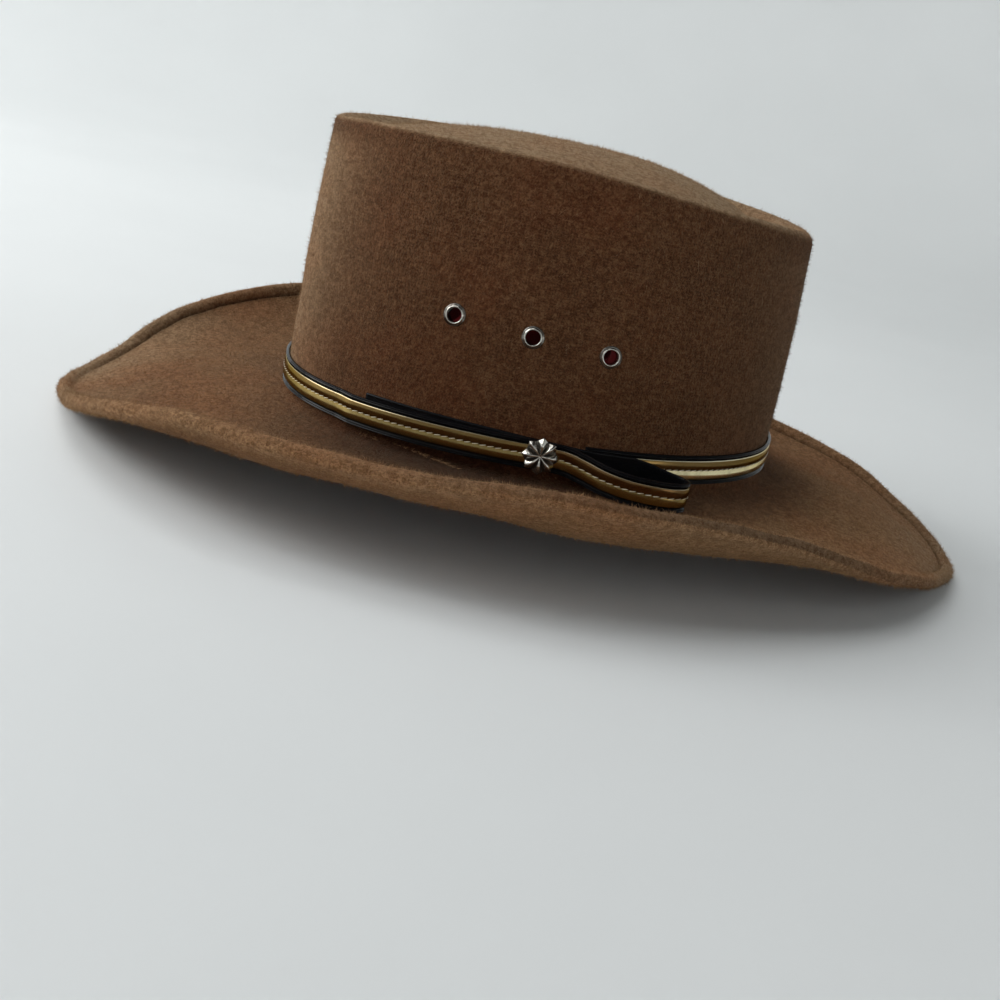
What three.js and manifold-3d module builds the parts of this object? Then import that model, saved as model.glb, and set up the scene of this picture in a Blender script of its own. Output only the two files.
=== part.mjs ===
// Gambler hat of brown wool felt: a telescope crown with a raised rim and a domed top, a wide brim
// curled up at the sides with its edge folded over and stitched down, three eyelets on the wearer's
// left, a red lining, and a gold and black band whose end makes a bow under a star concho.
// Millimetres. +Z is up, -Y is the front of the hat and +X is the wearer's left. The origin is on the
// surface that the hat rests on, under the middle of the brim. Angles are in degrees, measured from
// the front (0) round by the wearer's left (90) and the back (180) to the wearer's right (270).
import * as THREE from 'three';
import { mergeVertices } from 'three/addons/utils/BufferGeometryUtils.js';
import Module from 'manifold-3d';

// Felt
const FELT_THICKNESS = 2.8;
const STATION_COUNT = 64;

// Crown
const CROWN_BASE_WIDTH = 172;
const CROWN_BASE_LENGTH = 208.4;
const CROWN_TOP_WIDTH = 150.4;
const CROWN_TOP_LENGTH = 205;
const CROWN_SQUARENESS = 2.15;
const CROWN_BELLY = 0.9;
const CROWN_HEIGHT = 119;
const CREST_ROLL = 4.5;
const TROUGH_INSET = 12.5;
const TROUGH_DEPTH = 5.5;
const DOME_RISE = 2.5;
const DOME_FULLNESS = 2.5;

// Brim
const BREAK_HEIGHT = 25.2;
const BREAK_TILT = 2.1;
const BREAK_SAG = 1.5;
const FLARE_RADIUS = 4;
const BRIM_REACH = 200;
const BRIM_LIFT = 40;
const BRIM_FALL = 0.2;
const BRIM_CURL = 3;
const WELT_THICKNESS = 6.2;
const WELT_WIDTH = 8.5;

// Lining
const LINING_THICKNESS = 1;
const LINING_GAP = 1.4;
const LINING_HEM_HEIGHT = 9;
const HEM_GAP = 0.45;
const LINING_STATIONS = 36;

// Band and bow
const TRIM_GAP = 0.3;
const BAND_LIFT = 5.5;
const BAND_DIP = 1.5;
const BAND_DIP_ANGLE = 18;
const BAND_DIP_FOCUS = 4;
const BAND_WIDTH = 11.6;
const BACKING_THICKNESS = 0.8;
const PIPING_WIDTH = 1.9;
const PIPING_HEIGHT = 1.5;
const GOLD_THICKNESS = 0.6;
const GOLD_DIP = 0.3;
const BAND_START = 105.2;
const OVERLAP_START = 40;
const TAIL_LIFT = 1.4;
const BOW_LENGTH = 57.5;
const BOW_OUT = 11.5;
const BOW_DROP = 3.6;
const BOW_SECTIONS = 44;

// Star concho
const CONCHO_ANGLE = 94;
const CONCHO_RADIUS = 7.3;
const CONCHO_POINTS = 8;
const CONCHO_RISE = 2.8;

// Eyelets
const EYELET_COUNT = 3;
const EYELET_MIDDLE_ANGLE = 85.9;
const EYELET_SPACING = 30;
const EYELET_HEIGHT = 52.8;
const EYELET_SLOPE = -0.052;
const EYELET_FLANGE_RADIUS = 4.4;
const EYELET_HOLE_RADIUS = 2.7;
const EYELET_WALL = 0.35;
const EYELET_FLANGE_RISE = 1.0;
const EYELET_SIDES = 14;

// The crown's top rim: its height above the brim's break, as a share of CROWN_HEIGHT, and the depth of
// the trough behind it, as a share of TROUGH_DEPTH.
const CREST_ROWS = [
  { at: 0, crest: 0.956, trough: 0.45 },
  { at: 45, crest: 0.989, trough: 0.8 },
  { at: 90, crest: 0.99, trough: 1 },
  { at: 135, crest: 0.945, trough: 0.9 },
  { at: 180, crest: 0.902, trough: 0.87 },
  { at: 225, crest: 0.927, trough: 0.9 },
  { at: 270, crest: 0.98, trough: 1 },
  { at: 315, crest: 0.966, trough: 0.75 },
];

// The brim's edge: how far it reaches from the middle, as a share of BRIM_REACH, how high its top ridge
// is lifted above a flat-lying edge, as a share of BRIM_LIFT, and how steeply the brim falls where it
// leaves the crown, as a share of BRIM_FALL.
const RIM_ROWS = [
  { at: 0, reach: 1, lift: -0.055, fall: 0.6 },
  { at: 14, reach: 0.964, lift: 0.12, fall: 0.7 },
  { at: 30, reach: 0.945, lift: 0.425, fall: 0.8 },
  { at: 50, reach: 0.908, lift: 0.805, fall: 0.55 },
  { at: 75, reach: 0.829, lift: 0.865, fall: 0.33 },
  { at: 100, reach: 0.79, lift: 0.9, fall: 1 },
  { at: 125, reach: 0.79, lift: 0.73, fall: 1.35 },
  { at: 150, reach: 0.884, lift: 0.335, fall: 0.9 },
  { at: 167, reach: 0.95, lift: 0.065, fall: 0.7 },
  { at: 180, reach: 1, lift: -0.067, fall: 0.6 },
  { at: 193, reach: 0.995, lift: 0.065, fall: 0.7 },
  { at: 210, reach: 0.924, lift: 0.395, fall: 0.85 },
  { at: 235, reach: 0.81, lift: 0.605, fall: 1.2 },
  { at: 260, reach: 0.79, lift: 0.82, fall: 1.1 },
  { at: 285, reach: 0.823, lift: 0.975, fall: 0.7 },
  { at: 310, reach: 0.895, lift: 0.895, fall: 0.5 },
  { at: 330, reach: 0.975, lift: 0.525, fall: 0.7 },
  { at: 346, reach: 1, lift: 0.015, fall: 0.65 },
];

// Rings of the domed top, as shares of the trough's radius.
const DOME_RINGS = [0.3, 0.56, 0.8];

// The inner side of the rim, from the trough's floor up to the crest: the distance in from the crest
// as a share of TROUGH_INSET, and the depth below it as a share of the trough's depth.
const TROUGH_ROWS = [
  { inset: 1, depth: 1 },
  { inset: 0.7, depth: 0.92 },
  { inset: 0.45, depth: 0.6 },
  { inset: 0.2, depth: 0.17 },
];
const ROLL_ANGLES = [0, 35, 62, 90];
const WALL_SHARES = [0.8, 0.6, 0.4, 0.2, 0];
const FLARE_ANGLES = [35, 90];
const BRIM_STEPS = 5;
const SLOPE_PASSES = 4;

// The folded edge, seen in section from its inner foot round the outside to the underside: the
// distance in from the outermost line, as a share of WELT_WIDTH, and the height above the underside,
// as a share of WELT_THICKNESS. RIDGE_INSET is where its ridge lies, as a share of WELT_WIDTH.
const RIDGE_INSET = 0.26;
const WELT_ROWS = [
  { inset: 0.9, height: 0.74 },
  { inset: 0.72, height: 0.96 },
  { inset: 0.4, height: 1 },
  { inset: 0.12, height: 0.86 },
  { inset: 0, height: 0.5 },
  { inset: 0.12, height: 0.13 },
  { inset: 0.42, height: 0 },
];

// The glossy edge in section, from the back round its outer side: the distance in from the strip's edge
// as a share of PIPING_WIDTH, and the height above the back as a share of PIPING_HEIGHT.
const PIPING_ROWS = [
  { inset: 0, height: 0 },
  { inset: 0, height: 0.75 },
  { inset: 0.75, height: 1 },
];

// Where each half of the gold strip is highest, as a share of the way from its middle to its edge.
const GOLD_CREST = 0.82;

// The bow, from the concho out to the end of its loop and back to the crown: the distance along from
// the concho as a share of BOW_LENGTH, out from it as a share of BOW_OUT, and down as a share of
// BOW_DROP.
const BOW_ROWS = [
  { along: 0.14, out: 0.02, drop: 0 },
  { along: 0.21, out: 0.13, drop: 0.1 },
  { along: 0.3, out: 0.33, drop: 0.36 },
  { along: 0.43, out: 0.66, drop: 0.75 },
  { along: 0.57, out: 0.9, drop: 0.95 },
  { along: 0.72, out: 1, drop: 1 },
  { along: 0.86, out: 0.94, drop: 1 },
  { along: 0.96, out: 0.68, drop: 1 },
  { along: 1, out: 0.32, drop: 1 },
  { along: 0.965, out: -0.02, drop: 0.95 },
  { along: 0.86, out: -0.22, drop: 0.75 },
];

// The bow's way back along the crown to the end of its tail: the layer that it lies in, counted
// outwards from the felt, and how far it stands above the band, as a share of TAIL_LIFT.
const TAIL_ROWS = [
  { at: 117.5, layer: 1.5, lift: -1.2 },
  { at: 111.5, layer: 1.05, lift: -0.9 },
  { at: 105, layer: 1, lift: -0.7 },
  { at: 99, layer: 0, lift: -0.4 },
  { at: 91, layer: 0, lift: 0.1 },
  { at: 82, layer: 0, lift: 0.65 },
  { at: 72, layer: 0, lift: 1.05 },
  { at: 62, layer: 0, lift: 1.3 },
  { at: 53, layer: 0, lift: 1.5 },
  { at: 48, layer: 0, lift: 1.5 },
];

// The height of the dimple in the star's middle, as a share of CONCHO_RISE.
const STAR_DIMPLE = 0.45;

// The star's facets, from the middle out: the ring's radius as a share of the star's, and the heights
// of a ridge and of a valley there as shares of CONCHO_RISE.
const STAR_ROWS = [
  { ridge: 0.2, valley: 0.2, ridgeHeight: 0.62, valleyHeight: 0.5 },
  { ridge: 0.55, valley: 0.5, ridgeHeight: 1, valleyHeight: 0.55 },
  { ridge: 0.88, valley: 0.68, ridgeHeight: 0.72, valleyHeight: 0.42 },
  { ridge: 1, valley: 0.76, ridgeHeight: 0.32, valleyHeight: 0.26 },
];

// The eyelet's lip inside the flange, as a share of the flange's rise, and its rolled back end, as a
// share of the room between the felt and the lining.
const EYELET_LIP = 0.75;
const EYELET_ROLL = 0.8;

const FULL_TURN = 360;
const MERGE_DISTANCE = 1e-4;
const wasm = await Module();
wasm.setup();

// The value of one column of a table at an angle, on a smooth closed curve through the rows.
function around(table, column, angle) {
  const count = table.length;
  const place = THREE.MathUtils.euclideanModulo(angle, FULL_TURN);
  let index = count - 1;
  while (table[index].at > place) index -= 1;
  const turn = (from, to) => THREE.MathUtils.euclideanModulo(to.at - from.at, FULL_TURN);
  const before = table[(index + count - 1) % count];
  const start = table[index];
  const end = table[(index + 1) % count];
  const after = table[(index + 2) % count];
  const span = turn(start, end);
  const t = (place - start.at) / span;
  const slopeStart = (end[column] - before[column]) / turn(before, end) * span;
  const slopeEnd = (after[column] - start[column]) / turn(start, after) * span;
  const rise = t * t * (3 - 2 * t);
  return (
    start[column] * (1 - rise) + end[column] * rise
    + slopeStart * t * (1 - t) * (1 - t) - slopeEnd * t * t * (1 - t)
  );
}

// A point on the plan at an angle and a radius.
function planPoint(angle, radius, height) {
  const turn = THREE.MathUtils.degToRad(angle);
  return new THREE.Vector3(radius * Math.sin(turn), -radius * Math.cos(turn), height);
}

// Radius of a squared oval at an angle.
function ovalRadius(angle, width, length) {
  const turn = THREE.MathUtils.degToRad(angle);
  const across = Math.abs(Math.sin(turn)) / (width / 2);
  const along = Math.abs(Math.cos(turn)) / (length / 2);
  return (across ** CROWN_SQUARENESS + along ** CROWN_SQUARENESS) ** (-1 / CROWN_SQUARENESS);
}

// Radius of the crown's wall at a share of its height, 0 at the foot and 1 under the crest.
function wallRadius(angle, share) {
  const width = THREE.MathUtils.lerp(CROWN_BASE_WIDTH, CROWN_TOP_WIDTH, share);
  const length = THREE.MathUtils.lerp(CROWN_BASE_LENGTH, CROWN_TOP_LENGTH, share);
  const belly = CROWN_BELLY * Math.sin(Math.PI * THREE.MathUtils.clamp(share, 0, 1));
  return ovalRadius(angle, width, length) + belly;
}

// Height of the brim's top where it meets the crown.
function breakHeight(angle) {
  const turn = THREE.MathUtils.degToRad(angle);
  return BREAK_HEIGHT - BREAK_TILT * Math.cos(turn) - BREAK_SAG * Math.sin(turn) ** 2;
}

function crestHeight(angle) {
  return BREAK_HEIGHT + CROWN_HEIGHT * around(CREST_ROWS, 'crest', angle);
}

function troughHeight(angle) {
  return crestHeight(angle) - TROUGH_DEPTH * around(CREST_ROWS, 'trough', angle);
}

function troughRadius(angle) {
  return wallRadius(angle, 1) - CREST_ROLL - TROUGH_INSET;
}

const domeHeight = BREAK_HEIGHT + CROWN_HEIGHT + DOME_RISE;

// Height of the domed top at a share of the trough's radius.
function domeSurface(angle, share) {
  const floor = troughHeight(angle);
  return floor + (domeHeight - floor) * (1 - share ** DOME_FULLNESS);
}

// Foot and top of the straight wall.
function wallFoot(angle) {
  return breakHeight(angle) + FLARE_RADIUS;
}

function wallTop(angle) {
  return crestHeight(angle) - CREST_ROLL;
}

// The brim's upper surface at an angle, as a curve from the break to the edge line: where it starts,
// how far it runs and rises, its slope at the start, and the share of it that the folded edge covers.
function brimCurve(angle) {
  const startRadius = wallRadius(angle, 0) + FLARE_RADIUS;
  const startHeight = breakHeight(angle);
  const startSlope = -BRIM_FALL * around(RIM_ROWS, 'fall', angle);
  const ridgeInset = RIDGE_INSET * WELT_WIDTH;
  const ridgeRise = WELT_THICKNESS - FELT_THICKNESS;
  const ridge = new THREE.Vector2(
    BRIM_REACH * around(RIM_ROWS, 'reach', angle),
    WELT_THICKNESS + BRIM_LIFT * around(RIM_ROWS, 'lift', angle),
  );
  let slope = 0;
  let run = 0;
  let rise = 0;
  for (let pass = 0; pass < SLOPE_PASSES; pass += 1) {
    const along = new THREE.Vector2(1, slope).normalize();
    const edge = ridge.clone().addScaledVector(along, ridgeInset);
    edge.addScaledVector(new THREE.Vector2(-along.y, along.x), -ridgeRise);
    run = edge.x - startRadius;
    rise = edge.y - startHeight;
    slope = BRIM_CURL * rise / run - (BRIM_CURL - 1) * startSlope;
  }
  const foldShare = WELT_WIDTH / Math.hypot(1, slope) / run;
  return { startRadius, startHeight, startSlope, run, rise, foldShare };
}

// A point of the brim in section, at a share of its run and a height above its upper surface.
function brimPoint(curve, share, above) {
  const bend = curve.rise - curve.startSlope * curve.run;
  const height = curve.startHeight + curve.startSlope * curve.run * share + bend * share ** BRIM_CURL;
  const slope = curve.startSlope + BRIM_CURL * bend * share ** (BRIM_CURL - 1) / curve.run;
  const out = new THREE.Vector2(-slope, 1).normalize();
  const point = new THREE.Vector2(curve.startRadius + curve.run * share, height);
  return point.addScaledVector(out, above);
}

// The felt's outer side in section, from the middle of the top to the foot of the folded edge.
function outerSection(angle) {
  const points = [];
  const floorRadius = troughRadius(angle);
  const crestRadius = floorRadius + TROUGH_INSET;
  const crest = crestHeight(angle);
  const floor = troughHeight(angle);
  points.push(new THREE.Vector2(0, domeHeight));
  for (const share of DOME_RINGS) {
    points.push(new THREE.Vector2(floorRadius * share, domeSurface(angle, share)));
  }
  for (const row of TROUGH_ROWS) {
    const height = crest - (crest - floor) * row.depth;
    points.push(new THREE.Vector2(crestRadius - TROUGH_INSET * row.inset, height));
  }
  for (const roll of ROLL_ANGLES) {
    const turn = THREE.MathUtils.degToRad(roll);
    const height = crest - CREST_ROLL * (1 - Math.cos(turn));
    points.push(new THREE.Vector2(crestRadius + CREST_ROLL * Math.sin(turn), height));
  }
  for (const share of WALL_SHARES) {
    const height = THREE.MathUtils.lerp(wallFoot(angle), wallTop(angle), share);
    points.push(new THREE.Vector2(wallRadius(angle, share), height));
  }
  for (const flare of FLARE_ANGLES) {
    const turn = THREE.MathUtils.degToRad(flare);
    const radius = wallRadius(angle, 0) + FLARE_RADIUS * (1 - Math.cos(turn));
    points.push(new THREE.Vector2(radius, breakHeight(angle) + FLARE_RADIUS * (1 - Math.sin(turn))));
  }
  const curve = brimCurve(angle);
  const foot = 1 - curve.foldShare;
  for (let step = 1; step <= BRIM_STEPS; step += 1) {
    points.push(brimPoint(curve, foot * step / BRIM_STEPS, 0));
  }
  return points;
}

// The same line moved in by the felt's thickness and a further gap, at right angles to the felt.
function innerSection(outer, depth) {
  return outer.map((point, index) => {
    if (index === 0) return new THREE.Vector2(0, point.y - depth);
    const before = outer[index - 1];
    const after = outer[Math.min(index + 1, outer.length - 1)];
    const along = after.clone().sub(before).normalize();
    return new THREE.Vector2(point.x + along.y * depth, point.y - along.x * depth);
  });
}

// The felt in section, out along its upper side, round the folded edge and back along the underside.
// The underside is flat where the hat rests on it.
function feltSection(angle) {
  const outer = outerSection(angle);
  const curve = brimCurve(angle);
  const edge = WELT_ROWS.map((row) => {
    const share = 1 - row.inset * curve.foldShare;
    return brimPoint(curve, share, row.height * WELT_THICKNESS - FELT_THICKNESS);
  });
  const under = innerSection(outer, FELT_THICKNESS).reverse();
  const lower = [...edge, ...under].map((point) => new THREE.Vector2(point.x, Math.max(point.y, 0)));
  return [...outer, ...lower];
}

// A closed body from one section for each angle; the sections start and end on the axis.
function loftAround(sectionAt, stations) {
  const sections = [];
  for (let station = 0; station < stations; station += 1) {
    const angle = FULL_TURN * station / stations;
    sections.push(sectionAt(angle).map((point) => planPoint(angle, point.x, point.y)));
  }
  const rows = sections[0].length - 2;
  const vertices = [sections[0][0], sections[0][rows + 1]];
  for (const section of sections) vertices.push(...section.slice(1, -1));
  const at = (station, row) => 2 + (station % stations) * rows + row;
  const faces = [];
  for (let station = 0; station < stations; station += 1) {
    faces.push([0, at(station, 0), at(station + 1, 0)]);
    for (let row = 0; row < rows - 1; row += 1) {
      faces.push([at(station, row), at(station, row + 1), at(station + 1, row + 1)]);
      faces.push([at(station, row), at(station + 1, row + 1), at(station + 1, row)]);
    }
    faces.push([at(station, rows - 1), 1, at(station + 1, rows - 1)]);
  }
  return bodyFrom(vertices, faces);
}

function bodyFrom(vertices, faces) {
  const geometry = new THREE.BufferGeometry();
  geometry.setFromPoints(vertices);
  geometry.setIndex(faces.flat());
  return geometry;
}

// The crown's wall at an angle and a height: the point, its outward normal and the way up the felt.
function wallFrame(angle, height) {
  const surface = (turn, level) => {
    const share = (level - wallFoot(turn)) / (wallTop(turn) - wallFoot(turn));
    return planPoint(turn, wallRadius(turn, share), level);
  };
  const step = 0.5;
  const point = surface(angle, height);
  const along = surface(angle + step, height).sub(surface(angle - step, height));
  const up = surface(angle, height + step).sub(surface(angle, height - step)).normalize();
  const out = along.cross(up).normalize();
  return { point, out, up };
}

// Strips that lie on the crown. A strip's own middle is halfway through its thickness, so that it
// can be turned over, and layers lie on each other with a gap.
const stripThickness = BACKING_THICKNESS + TRIM_GAP + GOLD_THICKNESS;
const layerPitch = stripThickness + TRIM_GAP;

function stripPlace(angle, layer, lift = 0) {
  const turn = THREE.MathUtils.degToRad(angle - BAND_DIP_ANGLE);
  const dip = BAND_DIP * Math.max(Math.cos(turn), 0) ** BAND_DIP_FOCUS;
  const middle = breakHeight(angle) + BAND_LIFT - dip + BAND_WIDTH / 2 + lift;
  const frame = wallFrame(angle, middle);
  const depth = TRIM_GAP + stripThickness / 2 + layerPitch * layer;
  return { position: frame.point.addScaledVector(frame.out, depth), up: frame.up };
}

// Two glossy edges with a bed between them, in section: across the strip and out from its middle.
function backingOutline() {
  const edge = BAND_WIDTH / 2;
  const bed = edge - PIPING_WIDTH;
  const back = -stripThickness / 2;
  const side = PIPING_ROWS.map((row) => {
    return new THREE.Vector2(edge - PIPING_WIDTH * row.inset, back + PIPING_HEIGHT * row.height);
  });
  side.push(new THREE.Vector2(bed, back + BACKING_THICKNESS));
  const other = side.map((point) => new THREE.Vector2(-point.x, point.y)).reverse();
  return [...side, ...other];
}

// The gold strip that lies in the bed: two pillowed halves with a dip for the stitches.
function goldOutline() {
  const edge = BAND_WIDTH / 2 - PIPING_WIDTH - TRIM_GAP;
  const crest = edge * GOLD_CREST;
  const face = stripThickness / 2;
  return [
    new THREE.Vector2(edge, face - GOLD_THICKNESS),
    new THREE.Vector2(crest, face),
    new THREE.Vector2(0, face - GOLD_DIP),
    new THREE.Vector2(-crest, face),
    new THREE.Vector2(-edge, face - GOLD_THICKNESS),
  ];
}

// A strip along places that each have a position and a way up, with flat ends.
function sweepStrip(places, outline) {
  const vertices = [];
  places.forEach((place, index) => {
    const before = places[Math.max(index - 1, 0)].position;
    const after = places[Math.min(index + 1, places.length - 1)].position;
    const along = after.clone().sub(before).normalize();
    const out = along.clone().cross(place.up).normalize();
    const up = out.clone().cross(along).normalize();
    for (const corner of outline) {
      const vertex = place.position.clone().addScaledVector(up, corner.x);
      vertices.push(vertex.addScaledVector(out, corner.y));
    }
  });
  const count = outline.length;
  const last = (places.length - 1) * count;
  const faces = [];
  for (let start = 0; start < last; start += count) {
    for (let side = 0; side < count; side += 1) {
      const next = (side + 1) % count;
      faces.push([start + side, start + next, start + count + next]);
      faces.push([start + side, start + count + next, start + count + side]);
    }
  }
  for (const [a, b, c] of THREE.ShapeUtils.triangulateShape(outline, [])) {
    faces.push([a, c, b]);
    faces.push([last + a, last + b, last + c]);
  }
  return bodyFrom(vertices, faces);
}

// The band runs from under the concho round the back to the front and on to the concho, where it lies
// over the bow's tail.
function bandPlaces() {
  const step = FULL_TURN / STATION_COUNT;
  const last = CONCHO_ANGLE + FULL_TURN - TRIM_GAP;
  const overlap = OVERLAP_START + FULL_TURN;
  const places = [stripPlace(BAND_START, 0)];
  for (let angle = Math.ceil(BAND_START / step) * step; angle < last; angle += step) {
    places.push(stripPlace(angle, THREE.MathUtils.smoothstep(angle, overlap, overlap + step)));
  }
  places.push(stripPlace(last, 1));
  return places;
}

// The bow leaves the concho, loops back to it and ends in a tail that lies under the band.
function bowPlaces() {
  const points = [];
  const ups = [];
  const add = (place) => {
    points.push(place.position);
    ups.push(place.up);
  };
  const start = stripPlace(CONCHO_ANGLE, 1);
  const ahead = stripPlace(CONCHO_ANGLE + 1, 1).position.sub(start.position).setZ(0).normalize();
  const out = new THREE.Vector3(ahead.y, -ahead.x, 0);
  add(start);
  for (const row of BOW_ROWS) {
    const position = start.position.clone().addScaledVector(ahead, BOW_LENGTH * row.along);
    position.addScaledVector(out, BOW_OUT * row.out);
    position.z -= BOW_DROP * row.drop;
    add({ position, up: new THREE.Vector3(0, 0, 1) });
  }
  for (const row of TAIL_ROWS) add(stripPlace(row.at, row.layer, TAIL_LIFT * row.lift));
  const path = new THREE.CatmullRomCurve3(points, false, 'centripetal');
  const lean = new THREE.CatmullRomCurve3(ups, false, 'centripetal');
  const places = [];
  for (let section = 0; section <= BOW_SECTIONS; section += 1) {
    const t = section / BOW_SECTIONS;
    places.push({ position: path.getPoint(t), up: lean.getPoint(t) });
  }
  return places;
}

// The lining follows the inside of the felt: the top, the wall and a hem above the head opening,
// which lies close to the felt.
function liningSection(angle) {
  const hem = breakHeight(angle) + LINING_HEM_HEIGHT;
  const wall = (height, depth) => {
    const share = (height - wallFoot(angle)) / (wallTop(angle) - wallFoot(angle));
    return new THREE.Vector2(wallRadius(angle, share) - FELT_THICKNESS - depth, height);
  };
  const side = (depth, hemDepth) => {
    const top = innerSection(outerSection(angle), FELT_THICKNESS + depth).slice(0, DOME_RINGS.length + 2);
    const shoulder = top[top.length - 1].y - CREST_ROLL;
    return [
      ...top,
      wall(shoulder, depth),
      wall((shoulder + hem) / 2, depth),
      wall(hem + CREST_ROLL, depth),
      wall(hem, hemDepth),
    ];
  };
  const outside = side(LINING_GAP, HEM_GAP);
  const inside = side(LINING_GAP + LINING_THICKNESS, HEM_GAP + LINING_THICKNESS).reverse();
  return [...outside, ...inside];
}

// The star, with a ridge to each point and a valley between.
function starConcho() {
  const vertices = [new THREE.Vector3(0, 0, 0), new THREE.Vector3(0, 0, CONCHO_RISE * STAR_DIMPLE)];
  const count = CONCHO_POINTS * 2;
  const ring = (radiusAt, heightAt) => {
    for (let spoke = 0; spoke < count; spoke += 1) {
      const turn = Math.PI * spoke / CONCHO_POINTS;
      const radius = CONCHO_RADIUS * radiusAt(spoke % 2 === 0);
      const height = CONCHO_RISE * heightAt(spoke % 2 === 0);
      vertices.push(new THREE.Vector3(radius * Math.cos(turn), radius * Math.sin(turn), height));
    }
  };
  for (const row of STAR_ROWS) {
    ring(
      (onRidge) => (onRidge ? row.ridge : row.valley),
      (onRidge) => (onRidge ? row.ridgeHeight : row.valleyHeight),
    );
  }
  const rim = STAR_ROWS[STAR_ROWS.length - 1];
  ring((onRidge) => (onRidge ? rim.ridge : rim.valley), () => 0);
  const rings = STAR_ROWS.length + 1;
  const at = (level, spoke) => 2 + level * count + spoke % count;
  const faces = [];
  for (let spoke = 0; spoke < count; spoke += 1) {
    faces.push([1, at(0, spoke), at(0, spoke + 1)]);
    for (let level = 0; level < rings - 1; level += 1) {
      faces.push([at(level, spoke), at(level + 1, spoke), at(level + 1, spoke + 1)]);
      faces.push([at(level, spoke), at(level + 1, spoke + 1), at(level, spoke + 1)]);
    }
    faces.push([at(rings - 1, spoke), 0, at(rings - 1, spoke + 1)]);
  }
  return bodyFrom(vertices, faces);
}

// An eyelet turned about Y, with Y pointing out of the felt and 0 at the felt's outer side. The
// flange lies outside, and the set end is rolled out behind the felt.
function eyeletGeometry() {
  const inner = EYELET_HOLE_RADIUS;
  const barrel = inner + EYELET_WALL;
  const back = -FELT_THICKNESS - TRIM_GAP;
  const roll = (LINING_GAP - 2 * TRIM_GAP) * EYELET_ROLL;
  const lip = EYELET_FLANGE_RISE * EYELET_LIP;
  const middle = (barrel + EYELET_FLANGE_RADIUS) / 2;
  const profile = [
    [inner, lip],
    [inner, back],
    [middle, back - roll],
    [middle, back],
    [barrel, back],
    [barrel, TRIM_GAP],
    [EYELET_FLANGE_RADIUS, TRIM_GAP],
    [middle, EYELET_FLANGE_RISE],
    [inner, lip],
  ];
  const points = profile.map(([radius, height]) => new THREE.Vector2(radius, height));
  return new THREE.LatheGeometry(points, EYELET_SIDES);
}

// Eyelets in a row along the wearer's left, seated square to the wall.
function eyeletFrames() {
  const frames = [];
  const middleRadius = wallRadius(EYELET_MIDDLE_ANGLE, 0.5);
  const pitch = THREE.MathUtils.radToDeg(EYELET_SPACING / middleRadius);
  for (let index = 0; index < EYELET_COUNT; index += 1) {
    const place = index - (EYELET_COUNT - 1) / 2;
    const height = BREAK_HEIGHT + EYELET_HEIGHT + EYELET_SLOPE * EYELET_SPACING * place;
    frames.push(wallFrame(EYELET_MIDDLE_ANGLE + pitch * place, height));
  }
  return frames;
}

function toSolid(geometry) {
  const bare = geometry.clone();
  bare.deleteAttribute('normal');
  bare.deleteAttribute('uv');
  const merged = mergeVertices(bare, MERGE_DISTANCE);
  return new wasm.Manifold(new wasm.Mesh({
    numProp: 3,
    vertProperties: new Float32Array(merged.attributes.position.array),
    triVerts: new Uint32Array(merged.index.array),
  }));
}

function toGeometry(solid) {
  const mesh = solid.getMesh();
  const geometry = new THREE.BufferGeometry();
  geometry.setAttribute('position', new THREE.BufferAttribute(new Float32Array(mesh.vertProperties), 3));
  geometry.setIndex(new THREE.BufferAttribute(new Uint32Array(mesh.triVerts), 1));
  return geometry;
}

// The felt with a round hole through it for each eyelet's barrel.
function feltBody() {
  let felt = toSolid(loftAround(feltSection, STATION_COUNT));
  const bore = EYELET_HOLE_RADIUS + EYELET_WALL + TRIM_GAP;
  const depth = 3 * FELT_THICKNESS;
  for (const frame of eyeletFrames()) {
    const drill = new THREE.CylinderGeometry(bore, bore, depth, EYELET_SIDES);
    drill.applyQuaternion(new THREE.Quaternion().setFromUnitVectors(new THREE.Vector3(0, 1, 0), frame.out));
    drill.translate(frame.point.x, frame.point.y, frame.point.z);
    felt = felt.subtract(toSolid(drill));
  }
  return toGeometry(felt);
}

const feltBrown = new THREE.MeshStandardMaterial({ color: 0x5a3a26, roughness: 0.95, metalness: 0 });
const liningRed = new THREE.MeshStandardMaterial({ color: 0x9c1c20, roughness: 0.6, metalness: 0 });
const vinylBlack = new THREE.MeshStandardMaterial({ color: 0x0c0c0e, roughness: 0.15, metalness: 0 });
const foilGold = new THREE.MeshStandardMaterial({ color: 0xb08a3c, roughness: 0.25, metalness: 1 });
const nickel = new THREE.MeshStandardMaterial({ color: 0xb9b6ae, roughness: 0.3, metalness: 1 });

const hat = new THREE.Group();

function addMesh(name, geometry, material) {
  const mesh = new THREE.Mesh(geometry, material);
  mesh.name = name;
  hat.add(mesh);
  return mesh;
}

addMesh('felt_body', feltBody(), feltBrown);
addMesh('lining', loftAround(liningSection, LINING_STATIONS), liningRed);

const band = bandPlaces();
addMesh('band_backing', sweepStrip(band, backingOutline()), vinylBlack);
addMesh('band_gold_strip', sweepStrip(band, goldOutline()), foilGold);

const bow = bowPlaces();
addMesh('bow_backing', sweepStrip(bow, backingOutline()), vinylBlack);
addMesh('bow_gold_strip', sweepStrip(bow, goldOutline()), foilGold);

// The concho lies on the strip's face.
const conchoPlace = stripPlace(CONCHO_ANGLE, 1);
const conchoOut = wallFrame(CONCHO_ANGLE, conchoPlace.position.z).out;
const concho = addMesh('star_concho', starConcho(), nickel);
concho.position.copy(conchoPlace.position).addScaledVector(conchoOut, stripThickness / 2 + TRIM_GAP);
concho.quaternion.setFromUnitVectors(new THREE.Vector3(0, 0, 1), conchoOut);

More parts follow.
